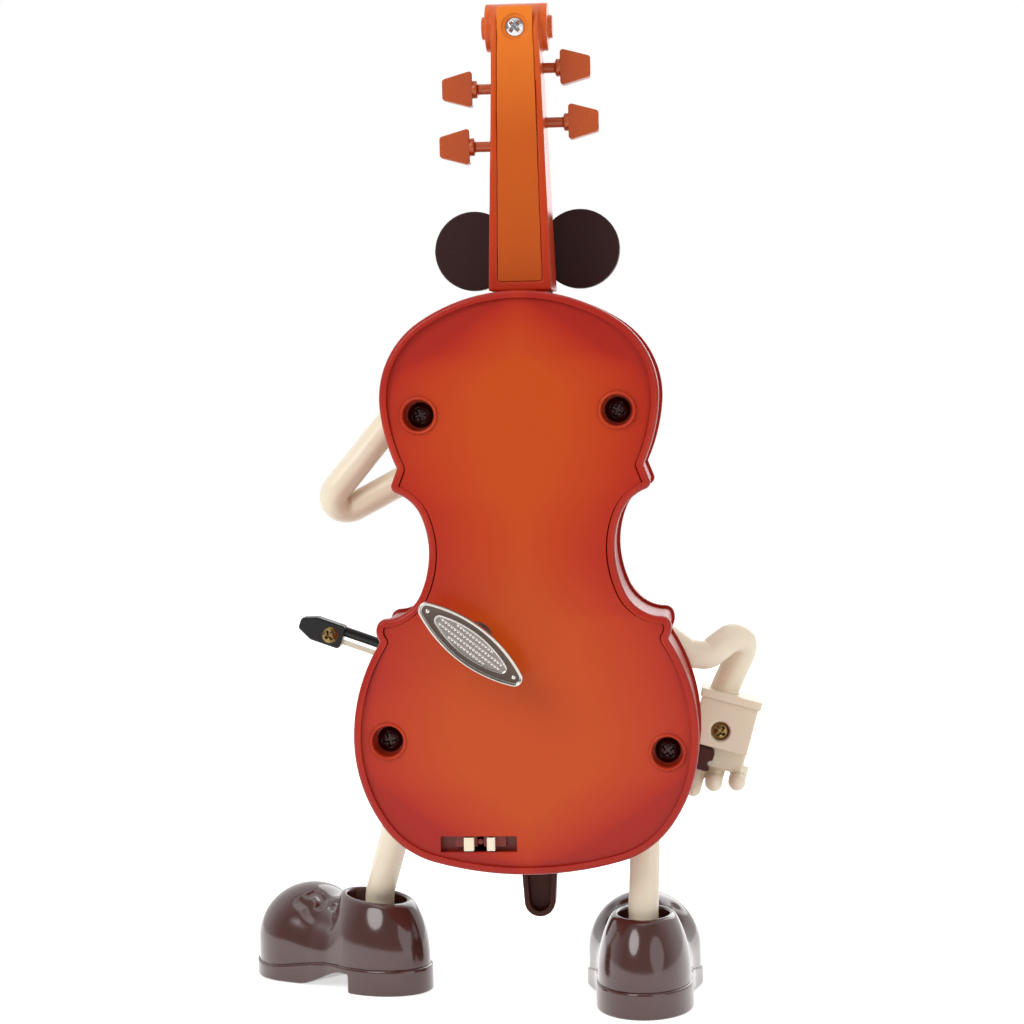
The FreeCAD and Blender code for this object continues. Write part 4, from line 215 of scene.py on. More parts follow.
def amberPlastic(name, stops):
    # the colour follows the height, lighter towards the head as a painted highlight
    material, tree, shader = newMaterial(name, **{"IOR": 1.5, "Specular IOR Level": 0.2, "Coat Weight": 0.04,
                                                  "Coat Roughness": 0.2})
    spot = addSkin(tree, shader, waveMm=11.0, waveDepth=0.03, roughness=0.35, spread=0.04)[0]
    parts = addNode(tree, "ShaderNodeSeparateXYZ", {0: spot})
    height = addNode(tree, "ShaderNodeMapRange", {"Value": parts.outputs["Z"],
                                                  "From Min": neckSprayAndHighlight["low"] * mm,
                                                  "From Max": neckSprayAndHighlight["high"] * mm})
    ramp = addNode(tree, "ShaderNodeValToRGB", {"Fac": height.outputs["Result"]})
    setRamp(ramp, stops)
    tree.links.new(ramp.outputs["Color"], shader.inputs["Base Color"])
    return material


materials = {
    # moulded ABS with a sprayed sunburst: a soft orange glow inside a red border, under a satin gloss
    "shell_red": sunburstPlastic("SprayedSunburstABS"),
    # the same spray on the neck: red at its root, more orange at the head and lighter there as a painted
    # highlight, almost no gloss
    "neck_red": amberPlastic("SprayedRedABSWithHighlight", neckSprayAndHighlight["neck"]),
    # ABS of the neck's cover: burnt orange at the root, lighter honey amber at the top as a painted highlight
    "cover_amber": amberPlastic("AmberABSWithHighlight", neckSprayAndHighlight["cover"]),
    # moulded ABS: plain orange brown with a faint sheen on the flats of the pegs
    "peg_orange": mouldedPlastic("OrangeBrownABS", "#B24E16", "#A84214", roughness=0.3, coat=0.1),
    # soft PVC tube: milky, warm where light enters it
    "limb_cream": mouldedPlastic("CreamPVC", "#ECE0CA", "#E8DABF", roughness=0.36, coat=0.1, glow=0.12),
    # high gloss ABS: broad soft reflections over chocolate brown
    "shoe_brown": mouldedPlastic("ChocolateABS", "#4C2B27", "#442521", roughness=0.14, coat=0.45,
                                 waveMm=18.0, waveDepth=0.12),
    # satin ABS: very dark brown that gives back little light
    "tie_brown": mouldedPlastic("DarkBrownABS", "#382121", "#331E1E", roughness=0.4, waveMm=5.0,
                                specular=0.15),
    # satin ABS: dull red brown, softer than the shoes
    "tail_brown": mouldedPlastic("BrownABS", "#4E2A22", "#46251E", roughness=0.45, specular=0.15),
    # moulded ABS: deep black with one narrow sheen along the bow
    "bow_black": mouldedPlastic("BlackABS", "#121010", "#161313", roughness=0.34, specular=0.3),
    # satin ABS: black with a wide weak reflection down the fingerboard
    "board_black": mouldedPlastic("SatinBlackABS", "#1B1614", "#171210", roughness=0.42),
    # drawn nylon: ivory white, slightly streaked
    "hair_white": mouldedPlastic("IvoryNylon", "#E4DECB", "#D9D2BC", roughness=0.4, waveMm=2.0),
    # moulded ABS: the tan of bare wood, without its grain
    "bridge_tan": mouldedPlastic("TanABS", "#C79A66", "#BD8F5C", roughness=0.4),
    # drawn steel wire: thin bright lines
    "string_steel": platedMetal("DrawnSteelWire", "#B8B8B4", roughness=0.3, grainMm=0.4),
    # blackened steel: brown black, with a glint only on the edges of the cross
    "screw_dark": platedMetal("BlackenedSteel", "#4A3A38", roughness=0.35),
    # bronze plated steel: warm yellow brown metal
    "screw_bronze": platedMetal("BronzePlatedSteel", "#8A7348", roughness=0.32),
    # zinc plated steel: bright, cold white metal
    "screw_bright": platedMetal("ZincPlatedSteel", "#C0C0C4", roughness=0.22),
    # nickel plated zinc casting: silver rims with fine wear
    "key_nickel": platedMetal("NickelPlatedZinc", "#C4BFB8", roughness=0.26, grainMm=0.5, grainDepth=0.006),
    # ground steel of the movement: grey and even
    "movement_steel": platedMetal("GroundSteel", "#9A9A98", roughness=0.35),
    # turned brass of the movement: yellow metal
    "movement_brass": platedMetal("TurnedBrass", "#C8A25A", roughness=0.3),
    # moulded nylon: chalky white
    "housing_white": mouldedPlastic("WhiteNylon", "#DCDAD2", "#D4D2C8", roughness=0.45),
    # dull nickel in the sunken band of the key, painted dark brownish grey as shade in the recess
    "keyBandShade": platedMetal("DullNickelPaintedShade", "#5F524C", roughness=0.5, grainMm=0.4, grainDepth=0.01),
    # nickel between the small domes of the key: a paler grey than the band and as dull, darker than the domes
    # as painted shade in the gaps between them
    "keyFieldShade": platedMetal("NickelPaintedGapShade", "#8C8480", roughness=0.45, grainMm=0.4, grainDepth=0.01),
    # red ABS deep in the slot of the switch, painted dark as shade, with hardly a reflection
    "switchRedInShade": mouldedPlastic("RedABSPaintedShade", "#8E2412", "#82200F", roughness=0.4),
}
slotOf = {part["node"]: part["material_slot"] for part in frame["record"]["subparts"]}
# nodes that don't look like the slot they are filed under; the switch's retainer and lever take the red
# painted dark as shade deep in the slot
otherSkin = {"neck_shell": "neck_red", "switch_retainer": "switchRedInShade", "stop_lever": "switchRedInShade"}
for node, item in nodes.items():
    item.data.materials.clear()
    item.data.materials.append(materials[otherSkin.get(node, slotOf[node])])
print("materials set:", len(materials))


# Pieces


def addPiece(name, mesh, body, slot, replaced=(), skin=None):
    # a finished piece: its mesh in place, its material, its body and the solids it stands for
    piece = bpy.data.objects.new(name, mesh)
    scene.collection.objects.link(piece)
    if not mesh.materials:
        mesh.materials.append(materials[skin or slot])
    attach(piece, body)
    if replaced:
        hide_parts(*replaced)
    return piece


def bakeModifiers(name, mesh, steps):
    # runs a mesh through modifiers and gives back the plain result
    worker = bpy.data.objects.new(name + "Worker", mesh)
    scene.collection.objects.link(worker)
    for kind, settings in steps:
        modifier = worker.modifiers.new(kind, kind)
        for key, value in settings.items():
            setattr(modifier, key, value)
    graph = bpy.context.evaluated_depsgraph_get()
    result = bpy.data.meshes.new_from_object(worker.evaluated_get(graph))
    result.name = name
    bpy.data.objects.remove(worker)
    return result


def newTree(name, inputs):
    # a Geometry Nodes tree with named inputs: gives the tree, its input sockets and what to set them to
    tree = bpy.data.node_groups.new(name, "GeometryNodeTree")
    tree.interface.new_socket("Geometry", in_out="INPUT", socket_type="NodeSocketGeometry")
    values = {}
    for label, value in inputs.items():
        kind = {int: "NodeSocketInt", float: "NodeSocketFloat"}.get(type(value), "NodeSocketObject")
        socket = tree.interface.new_socket(label, in_out="INPUT", socket_type=kind)
        values[socket.identifier] = value
    tree.interface.new_socket("Geometry", in_out="OUTPUT", socket_type="NodeSocketGeometry")
    return tree, addNode(tree, "NodeGroupInput").outputs, values


def endTree(tree, points, instance, rotation, skin):
    # sets the instance on every point, makes the copies real and paints them
    copies = addNode(tree, "GeometryNodeInstanceOnPoints", {"Points": points, "Instance": instance,
                                                            "Rotation": rotation})
    real = addNode(tree, "GeometryNodeRealizeInstances", {"Geometry": copies.outputs[0]})
    painted = addNode(tree, "GeometryNodeSetMaterial", {"Geometry": real.outputs[0],
                                                        "Material": materials[skin]})
    addNode(tree, "NodeGroupOutput", {0: painted.outputs[0]})


def growMesh(name, tree, values, base=None):
    # runs the tree on a base mesh and gives back the plain result
    worker = bpy.data.objects.new(name + "Worker", base or bpy.data.meshes.new(name + "Base"))
    scene.collection.objects.link(worker)
    modifier = worker.modifiers.new(name, "NODES")
    modifier.node_group = tree
    for identifier, value in values.items():
        modifier[identifier] = value
    graph = bpy.context.evaluated_depsgraph_get()
    mesh = bpy.data.meshes.new_from_object(worker.evaluated_get(graph))
    mesh.name = name
    bpy.data.objects.remove(worker)
    return mesh


def shadeSmooth(mesh):
    mesh.polygons.foreach_set("use_smooth", [True] * len(mesh.polygons))
    mesh.update()


def closeMesh(shape, name, smoothDegrees=35.0):
    # welds, turns the faces outwards and keeps crisp edges sharp
    bmesh.ops.remove_doubles(shape, verts=shape.verts, dist=0.002 * mm)
    bmesh.ops.recalc_face_normals(shape, faces=shape.faces)
    limit = math.radians(smoothDegrees)
    for face in shape.faces:
        face.smooth = True
    for edge in shape.edges:
        if len(edge.link_faces) == 2 and edge.calc_face_angle(0.0) > limit:
            edge.smooth = False
    mesh = bpy.data.meshes.new(name)
    shape.to_mesh(mesh)
    shape.free()
    return mesh


def mergedCopy(name, names):
    # the CAD solids as one welded mesh
    shape = bmesh.new()
    for node in names:
        shape.from_mesh(nodes[node].data)
    bmesh.ops.remove_doubles(shape, verts=shape.verts, dist=0.002 * mm)
    mesh = bpy.data.meshes.new(name + "Solid")
    shape.to_mesh(mesh)
    shape.free()
    return mesh


def cutBehind(mesh, y):
    # takes off what lies nearer to the back than this height and closes the cut
    shape = bmesh.new()
    shape.from_mesh(mesh)
    everything = shape.verts[:] + shape.edges[:] + shape.faces[:]
    cut = bmesh.ops.bisect_plane(shape, geom=everything, plane_co=place(0, y, 0), plane_no=(0, -1, 0),
                                 clear_outer=True)
    rim = [item for item in cut["geom_cut"] if isinstance(item, bmesh.types.BMEdge)]
    bmesh.ops.holes_fill(shape, edges=rim)
    shape.to_mesh(mesh)
    shape.free()


def softMould(name, names, voxelMm, passes, keepShare, cutY=None):
    # rounds every edge as a mould does: fine remesh, smoothing, then fewer faces where it is flat
    solid = mergedCopy(name, names)
    if cutY is not None:
        cutBehind(solid, cutY)
    steps = [("REMESH", {"mode": "VOXEL", "voxel_size": voxelMm * mm, "use_smooth_shade": True}),
             ("SMOOTH", {"factor": 0.5, "iterations": passes}),
             ("DECIMATE", {"ratio": keepShare})]
    mesh = bakeModifiers(name, solid, steps)
    shadeSmooth(mesh)
    return mesh


# moulded pieces: node, body, voxel in mm, smoothing passes, share of faces kept
mouldedPieces = {
    "bowTieKnot": ("tie_knot", "cello", 0.18, 5, 0.5),
    "pegLeftUpper": ("peg_left_upper", "cello", 0.13, 3, 0.5),
    "pegLeftLower": ("peg_left_lower", "cello", 0.13, 3, 0.5),
    "pegRightUpper": ("peg_right_upper", "cello", 0.13, 3, 0.5),
    "pegRightLower": ("peg_right_lower", "cello", 0.13, 3, 0.5),
    "neckBody": ("neck_shell", "cello", 0.24, 3, 0.5),
    "neckCoverPlate": ("neck_cover", "cello", 0.15, 2, 0.5),
    "tailpiecePlate": ("tailpiece", "cello", 0.18, 3, 0.5),
    "leftHandPalm": ("left_hand_front", "cello", 0.18, 5, 0.5),
    "leftHandCuff": ("left_hand_back", "cello", 0.18, 2, 0.5),
    "rightHandPalm": ("right_hand_front", "bow_arm", 0.18, 5, 0.5),
    "rightHandCuff": ("right_hand_back", "bow_arm", 0.18, 2, 0.5),
    "bowFrogBlock": ("bow_frog", "bow_arm", 0.13, 4, 0.5),
    "bowTipCap": ("bow_cap", "bow_arm", 0.13, 4, 0.5),
}
for name, (node, body, voxelMm, passes, keepShare) in mouldedPieces.items():
    mesh = softMould(name, [node], voxelMm, passes, keepShare)
    addPiece(name, mesh, body, slotOf[node], [node], otherSkin.get(node))
# the tie's lobes, without the hidden prongs that clip it to the neck
tieBack = 17.2
lobes = softMould("bowTieLobes", ["bow_tie"], 0.22, 8, 1.0, tieBack)
addPiece("bowTieLobes", lobes, "cello", "tie_brown", ["bow_tie"])
print("moulded pieces:", len(mouldedPieces) + 1)


# Shapes made from distance fields, in a piece's own millimetres


def skinField(name, field, grid):
    # samples the field on a grid and skins its zero surface
    cell = grid["cell"]
    axes = [np.arange(low, high, cell) for low, high in zip(grid["low"], grid["high"])]
    x, y, z = np.meshgrid(*axes, indexing="ij")
    values = openvdb.FloatGrid(1.0)
    values.copyFromArray(np.clip(field(x, y, z), -2.0, 2.0).astype(np.float32))
    points, quads = values.convertToPolygons(0.0, 0.0)[::2]
    spots = (np.array(grid["low"]) + cell * np.array(points)) * mm
    mesh = bpy.data.meshes.new(name + "Skin")
    mesh.from_pydata(spots.tolist(), [], np.array(quads).tolist())
    shape = bmesh.new()
    shape.from_mesh(mesh)
    bmesh.ops.recalc_face_normals(shape, faces=shape.faces)
    shape.to_mesh(mesh)
    shape.free()
    mesh = bakeModifiers(name, mesh, [("SMOOTH", {"factor": 0.5, "iterations": grid["passes"]}),
                                      ("DECIMATE", {"ratio": grid["keep"]})])
    shadeSmooth(mesh)
    return mesh


# Shoes: upper and sole
shoes = {
    "cell": 0.26, "low": (-13.2, -14.4, -0.8), "high": (13.2, 34.6, 24.4), "keep": 0.5, "passes": 2,
    "blend": 5.0,
    # heel cone: half width, reach back and reach forward, each at the sole line and at the collar
    "heelHalf": (9.65, 6.4), "heelBack": (13.0, 8.5), "heelFront": (9.7, 9.3), "bulge": 2.6,
    "soleLine": 5.5, "collarZ": 19.6, "collarRound": 0.9,
    "toeY": 21.3, "toeHalf": 12.0, "toeZ": 8.0, "toeHigh": 19.9,
    "instep": (10.5, 6.5), "instepRadii": (9.4, 9.0, 8.8),
    "holeHalf": 5.3, "holeLength": 7.5, "holeZ": 9.0, "holeRound": 0.6,
    # sole: overhang past the upper, its top line, the arch behind the ball and the lifted tip
    "welt": 0.45, "topHigh": 5.6, "topDrop": 2.1, "topFrom": 4.0, "topTo": 24.0, "edgeRound": 0.5,
    "breastY": -1.0, "archHigh": 4.0, "archFrom": 1.0, "archTo": 15.0, "tipLift": 0.5, "tipFrom": 24.0,
    "tipTo": 34.0, "seat": 0.25,
    # ankle place, how far the toe turns out and how far the collar slopes up to the front
    "feet": {"left": (-35.4, 17.3, 49.5, 5.0), "right": (22.7, -2.0, 2.0, 0.0)},
    # creases: width, depth, then points (x across, y forward, z up) from the ankle
    "creases": (
        (0.75, 0.85, ((-4.5, 16.9, 18.2), (-3.3, 16.9, 18.6), (-2.9, 15.7, 18.1), (-3.2, 14.3, 17.3),
                      (-4.0, 13.5, 16.7), (-5.0, 13.5, 16.2))),
        (1.3, 0.6, ((-6.8, 17.5, 17.0), (-6.6, 15.6, 16.2), (-7.1, 13.9, 14.8), (-7.1, 10.9, 13.7),
                    (-7.2, 7.6, 13.4))),
        (0.9, 0.75, ((-3.4, 10.8, 16.4), (-4.4, 8.4, 16.3), (-1.7, 10.5, 17.0))),
        (1.3, 0.6, ((6.8, 17.5, 17.0), (6.6, 15.6, 16.2), (7.1, 13.9, 14.8), (7.1, 10.9, 13.7),
                    (7.2, 7.6, 13.4))),
    ),
}


def ease(low, high, value):
    share = np.clip((value - low) / (high - low), 0.0, 1.0)
    return share * share * (3 - 2 * share)


def smoothUnion(first, second, blend):
    share = np.clip(0.5 + 0.5 * (second - first) / blend, 0.0, 1.0)
    return second * (1 - share) + first * share - blend * share * (1 - share)


def smoothCut(first, second, blend):
    return -smoothUnion(-first, -second, blend)


def shoeBody(x, y, z, slope):
    # the heel cone cut off at the collar, the toe's dome and the instep, run into each other
    line, collar = shoes["soleLine"], shoes["collarZ"]
    fall = 1 - np.clip((z - line) / (collar - line), 0.0, 1.1) ** shoes["bulge"]
    half, back, front = (high + (low - high) * fall for low, high in
                         (shoes["heelHalf"], shoes["heelBack"], shoes["heelFront"]))
    heel = (np.hypot(x / half, y / np.where(y < 0, back, front)) - 1) * half
    heel = smoothCut(heel, z - collar - math.tan(math.radians(slope)) * y, shoes["collarRound"])
    wide, middle = shoes["toeHalf"], shoes["toeZ"]
    lift = np.maximum(z - middle, 0) / (shoes["toeHigh"] - middle)
    toe = (np.sqrt((x / wide) ** 2 + ((y - shoes["toeY"]) / wide) ** 2 + lift ** 2) - 1) * wide
    (middleY, middleZ), (a, b, c) = shoes["instep"], shoes["instepRadii"]
    lift = np.maximum(z - middleZ, 0) / c
    instep = (np.sqrt((x / a) ** 2 + ((y - middleY) / b) ** 2 + lift ** 2) - 1) * a
    return smoothUnion(smoothUnion(heel, toe, shoes["blend"]), instep, shoes["blend"])


def lineDistance(x, y, z, points):
    nearest = None
    for start, end in zip(points, points[1:]):
        step = [q - p for p, q in zip(start, end)]
        along = sum((axis - p) * s for axis, p, s in zip((x, y, z), start, step)) / sum(s * s for s in step)
        along = np.clip(along, 0.0, 1.0)
        gap = np.sqrt(sum((axis - p - along * s) ** 2 for axis, p, s in zip((x, y, z), start, step)))
        nearest = gap if nearest is None else np.minimum(nearest, gap)
    return nearest


def soleTop(y):
    lift = shoes["tipLift"] * ease(shoes["tipFrom"], shoes["tipTo"], y)
    return shoes["topHigh"] - shoes["topDrop"] * ease(shoes["topFrom"], shoes["topTo"], y) + lift


def upperField(x, y, z, slope):
    field = shoeBody(x, y, z, slope)
    for width, depth, points in shoes["creases"]:
        field = field + depth * np.exp(-(lineDistance(x, y, z, points) / width) ** 2)
    hole = (np.hypot(x / shoes["holeHalf"], y / shoes["holeLength"]) - 1) * shoes["holeHalf"]
    hole = smoothCut(hole, shoes["holeZ"] - z, shoes["holeRound"])
    field = smoothCut(field, -hole, shoes["holeRound"])
    return np.maximum(field, soleTop(y) - shoes["seat"] - z)


def soleField(x, y, z, slope):
    edge = shoes["edgeRound"]
    plan = shoeBody(x, y, np.full_like(z, shoes["soleLine"]), slope) - shoes["welt"]
    field = smoothCut(plan, z - soleTop(y), edge)
    arch = shoes["archHigh"] * (1 - ease(shoes["archFrom"], shoes["archTo"], y))
    hollow = np.maximum(shoes["breastY"] - y, z - arch)
    field = smoothCut(field, -hollow, edge)
    ground = shoes["tipLift"] * ease(shoes["tipFrom"], shoes["tipTo"], y)
    return smoothCut(field, ground - z, edge)


for side, (x, y, toeOut, slope) in shoes["feet"].items():
    toWorld = Matrix.Translation(place(x, y, 0)) @ Matrix.Rotation(math.radians(toeOut), 4, "Z")
    for part, field in (("Upper", upperField), ("Sole", soleField)):
        name = side + "Shoe" + part
        mesh = skinField(name, functools.partial(field, slope=slope), shoes)
        mesh.transform(toWorld)
        node = side + ("_shoe" if part == "Upper" else "_sole")
        addPiece(name, mesh, "cello", "shoe_brown", [node])
print("shoes made:", len(shoes["feet"]))


# Winding key: a lens with a raised rim, a sunken band, an inner lens with its own border, and a hub
windingKey = {
    "x": -9.6, "z": 77.7, "rearY": -25.0, "thick": 1.6, "degrees": 38.5,
    "halfLength": 12.7, "halfWidth": 4.1, "tipRadius": 1.7,
    "innerLength": 8.8, "innerWidth": 2.5, "innerTip": 1.0,
    # inset from the outer outline and height above the face towards the cello
    "rim": ((0.45, 0.0), (0.12, 0.08), (0.0, 0.32), (0.0, 1.22), (0.1, 1.5), (0.26, 1.6), (0.42, 1.5),
            (0.5, 1.2), (0.55, 0.95), (0.7, 0.9)),
    # outset from the inner outline and height
    "border": ((0.14, 0.9), (0.09, 0.96), (0.06, 1.34), (-0.06, 1.44), (-0.2, 1.38), (-0.26, 1.16),
               (-0.34, 1.1)),
    "pointsPerQuarter": 24, "turnedSides": 48,
    # radius and height of the hub, and of a small stud near each end of the sunken band
    "hub": ((2.9, 0.02), (2.52, -0.35), (2.4, -0.9), (2.4, -5.2), (2.1, -5.6)),
    "stud": ((0.4, 0.8), (0.4, 1.025), (0.28, 1.125), (0.08, 1.15)), "studAt": 10.75,
}


def lensOutline(halfLength, halfWidth, tipRadius, inset):
    # two wide arcs joined by round tips, moved in by the inset: points all the way round
    reach = halfLength - tipRadius
    belly = halfWidth - tipRadius
    drop = (reach ** 2 - belly ** 2) / (2 * belly)
    radius = halfWidth + drop
    angle = math.asin(reach / (radius - tipRadius))
    count = windingKey["pointsPerQuarter"]
    quarter = []
    for step in range(count + 1):
        turn = angle * step / count
        quarter.append((math.sin(turn) * (radius - inset), math.cos(turn) * (radius - inset) - drop))
    for step in range(1, count // 3 + 1):
        turn = angle + (math.pi / 2 - angle) * step / (count // 3)
        small = max(tipRadius - inset, 0.02)
        quarter.append((reach + math.sin(turn) * small, math.cos(turn) * small))
    right = quarter + [(x, -y) for x, y in reversed(quarter[:-1])]
    return right + [(-x, y) for x, y in reversed(right[1:-1])]


def keySpot(along, across, height):
    # a spot on the key: along and across the lens, height above its face towards the cello
    turn = math.radians(windingKey["degrees"])
    x = along * math.cos(turn) + across * math.sin(turn)
    z = -along * math.sin(turn) + across * math.cos(turn)
    y = windingKey["rearY"] + windingKey["thick"] - height
    return place(windingKey["x"] + x, y, windingKey["z"] + z)


def addRings(shape, rings):
    # joins rings of equal length with faces
    made = [[shape.verts.new(spot) for spot in ring] for ring in rings]
    for one, two in zip(made, made[1:]):
        for index in range(len(one)):
            after = (index + 1) % len(one)
            shape.faces.new((one[index], one[after], two[after], two[index]))
    return made


def addTurned(shape, along, profile):
    # a round boss on the key, from pairs of radius and height
    sides = windingKey["turnedSides"]
    rings = [[keySpot(along + wide * math.cos(turn * math.tau / sides),
                      wide * math.sin(turn * math.tau / sides), height) for turn in range(sides)]
             for wide, height in profile]
    made = addRings(shape, rings)
    shape.faces.new(made[0])
    shape.faces.new(made[-1])


def addKey():
    outer = (windingKey["halfLength"], windingKey["halfWidth"], windingKey["tipRadius"])
    inner = (windingKey["innerLength"], windingKey["innerWidth"], windingKey["innerTip"])
    rings = []
    for inset, height in windingKey["rim"]:
        rings.append([keySpot(x, z, height) for x, z in lensOutline(*outer, inset)])
    for outset, height in windingKey["border"]:
        rings.append([keySpot(x, z, height) for x, z in lensOutline(*inner, -outset)])
    shape = bmesh.new()
    made = addRings(shape, rings)
    shape.faces.new(reversed(made[0]))
    shape.faces.new(made[-1])
    closed = len(rings[0])
    # the sunken band and the inner field are duller than the polished rims, and painted darker as shade
    bandRing = len(windingKey["rim"]) - 1
    shape.faces.ensure_lookup_table()
    for index, face in enumerate(shape.faces):
        face.material_index = 1 if index // closed == bandRing else 0
    shape.faces[-1].material_index = 2
    addTurned(shape, 0.0, windingKey["hub"])
    for end in (-1, 1):
        addTurned(shape, end * windingKey["studAt"], windingKey["stud"])
    mesh = closeMesh(shape, "windingKeyLens")
    for skin in ("key_nickel", "keyBandShade", "keyFieldShade"):
        mesh.materials.append(materials[skin])
    addPiece("windingKeyLens", mesh, "key", "key_nickel", ["winding_key"])


addKey()


# Screws: pan heads with a deep cross, all looking back
screws = {
    "cell": 0.085, "keep": 0.5, "passes": 1, "spare": 0.4, "smoothDegrees": 50.0,
    # roundness of the head's edge, of its underside and of the slot, and the dome's radius in head radii
    "round": 0.22, "underRound": 0.05, "slotRound": 0.06, "domeShare": 1.25, "stemShare": 0.2,
    # recess: reach, half width and depth as shares of the head radius, and how much it narrows downwards
    "reach": 0.68, "slot": 0.17, "deep": 0.5, "taper": 0.35,
    # node: name, body, material, head radius and height, shank radius and length, then each place across,
    # y of the head's underside, up, and the turn of the cross in degrees
    "kinds": {
        "case_screws": ("caseScrews", "cello", "screw_dark", 2.6, 1.6, 1.25, 12.0, (
            (-20.2, -9.5, 123.0, 20), (19.8, -9.5, 123.3, 65), (-28.0, -9.5, 57.0, 10),
            (28.6, -9.5, 54.2, 38))),
        "neck_screw": ("neckScrew", "cello", "screw_bright", 2.3, 0.9, 0.9, 6.0, (
            (0.0, -2.35, 201.4, 45),)),
        "right_hand_screw": ("rightHandScrew", "bow_arm", "screw_bronze", 2.1, 1.0, 0.9, 5.6, (
            (38.8, 24.1, 53.4, 50),)),
        "left_hand_screw": ("leftHandScrew", "cello", "screw_bronze", 2.1, 1.0, 0.9, 5.6, (
            (-10.0, 20.5, 116.2, 15),)),
        "bow_tip_screw": ("bowTipScrew", "bow_arm", "screw_bronze", 2.0, 0.8, 0.8, 2.4, (
            (-45.15, 23.6, 75.21, 30),)),
    },
}


def screwField(x, y, z, head, rise, shank, length):
    # height z runs out of the head's underside towards the eye
    dome = head * screws["domeShare"]
    across = np.hypot(x, y)
    ball = np.sqrt(across ** 2 + (z - rise + dome) ** 2) - dome
    pan = smoothCut(smoothCut(across - head, ball, screws["round"]), -z, screws["underRound"])
    depth = np.clip((rise - z) / (screws["deep"] * head), 0.0, 1.0)
    half, reach = (head * screws[key] * (1 - screws["taper"] * depth) for key in ("slot", "reach"))
    cross = np.minimum(np.maximum(abs(x) - reach, abs(y) - half),
                       np.maximum(abs(y) - reach, abs(x) - half))
    cross = np.maximum(cross, rise - screws["deep"] * head - z)
    stem = np.maximum(across - shank, np.maximum(-length - z, z - rise * screws["stemShare"]))
    return smoothCut(np.minimum(pan, stem), -cross, screws["slotRound"])


def spreadScrews(name, one, places, slot):
    # copies one screw to its places by Geometry Nodes, each with its own turn
    pattern = bpy.data.objects.new(name + "One", one)
    scene.collection.objects.link(pattern)
    points = bpy.data.meshes.new(name + "Places")
    points.from_pydata([place(x, y, z) for x, y, z, turn in places], [], [])
    turns = points.attributes.new("turn", "FLOAT", "POINT")
    turns.data.foreach_set("value", [-math.radians(turn) for x, y, z, turn in places])
    tree, given, values = newTree(name, {"Screw": pattern})
    screw = addNode(tree, "GeometryNodeObjectInfo", {"Object": given["Screw"]})
    turn = addNode(tree, "GeometryNodeInputNamedAttribute", {"Name": "turn"}, data_type="FLOAT")
    rotation = addNode(tree, "ShaderNodeCombineXYZ", {"X": math.pi / 2, "Y": turn.outputs["Attribute"]})
    endTree(tree, given["Geometry"], screw.outputs["Geometry"], rotation.outputs[0], slot)
    shape = bmesh.new()
    shape.from_mesh(growMesh(name, tree, values, points))
    bpy.data.objects.remove(pattern)
    return closeMesh(shape, name, screws["smoothDegrees"])


def addScrews():
    for node, (name, body, slot, head, rise, shank, length, places) in screws["kinds"].items():
        wide, spare = head + screws["spare"], screws["spare"]
        grid = dict(screws, low=(-wide, -wide, -length - spare), high=(wide, wide, rise + spare))
        field = functools.partial(screwField, head=head, rise=rise, shank=shank, length=length)
        one = skinField(name + "One", field, grid)
        addPiece(name, spreadScrews(name, one, places, slot), body, slot, [node])
    print("screws made:", len(screws["kinds"]))


addScrews()


# Stipple: rows of small domes over the inner lens, made by Geometry Nodes
stipple = {
    "pitch": 0.72, "radius": 0.38, "rise": 0.15, "height": 1.03, "margin": 0.42, "segments": 8, "rings": 5,
}


def addStipple():
    length, width = (windingKey[key] * 2 for key in ("innerLength", "innerWidth"))
    margin, pitch = stipple["margin"], stipple["pitch"]
    tree, given, values = newTree("keyStipple", {
        "Length": length * mm, "Width": width * mm, "Columns": int(length / pitch),
        "Rows": int(width / pitch), "Reach": (length / 2 - margin) * mm,
        "Half Width": (width / 2 - margin) * mm, "Dot Radius": stipple["radius"] * mm})
    grid = addNode(tree, "GeometryNodeMeshGrid", {"Size X": given["Length"], "Size Y": given["Width"],
                                                  "Vertices X": given["Columns"],
                                                  "Vertices Y": given["Rows"]})
    spot = addNode(tree, "GeometryNodeInputPosition").outputs[0]
    parts = addNode(tree, "ShaderNodeSeparateXYZ", {0: spot}).outputs
    # half width of the lens at this distance along it: close to a parabola
    share = addNode(tree, "ShaderNodeMath", {0: parts["X"], 1: given["Reach"]}, operation="DIVIDE")
    square = addNode(tree, "ShaderNodeMath", {0: share.outputs[0], 1: share.outputs[0]},
                     operation="MULTIPLY")
    left = addNode(tree, "ShaderNodeMath", {0: 1.0, 1: square.outputs[0]}, operation="SUBTRACT")
    limit = addNode(tree, "ShaderNodeMath", {0: left.outputs[0], 1: given["Half Width"]},
                    operation="MULTIPLY")
    across = addNode(tree, "ShaderNodeMath", {0: parts["Y"]}, operation="ABSOLUTE")
    outside = addNode(tree, "FunctionNodeCompare", {0: across.outputs[0], 1: limit.outputs[0]},
                      data_type="FLOAT", operation="GREATER_THAN")
    kept = addNode(tree, "GeometryNodeDeleteGeometry", {"Geometry": grid.outputs["Mesh"],
                                                        "Selection": outside.outputs[0]}, domain="POINT")
    dot = addNode(tree, "GeometryNodeMeshUVSphere", {"Segments": stipple["segments"],
                                                     "Rings": stipple["rings"],
                                                     "Radius": given["Dot Radius"]})
    endTree(tree, kept.outputs[0], dot.outputs["Mesh"], (0, 0, 0), "key_nickel")
    mesh = growMesh("keyStipple", tree, values)
    # the flat field of balls is laid on the key and pressed down to domes
    flatten = stipple["rise"] / stipple["radius"]
    for vertex in mesh.vertices:
        along, across, up = (value / mm for value in vertex.co)
        vertex.co = keySpot(along, across, stipple["height"] + up * flatten)
    shadeSmooth(mesh)
    addPiece("keyStipple", mesh, "key", "key_nickel")
    pointsPerDot = stipple["segments"] * (stipple["rings"] - 1) + 2
    print("key stipple dots:", len(mesh.vertices) // pointsPerDot)


addStipple()


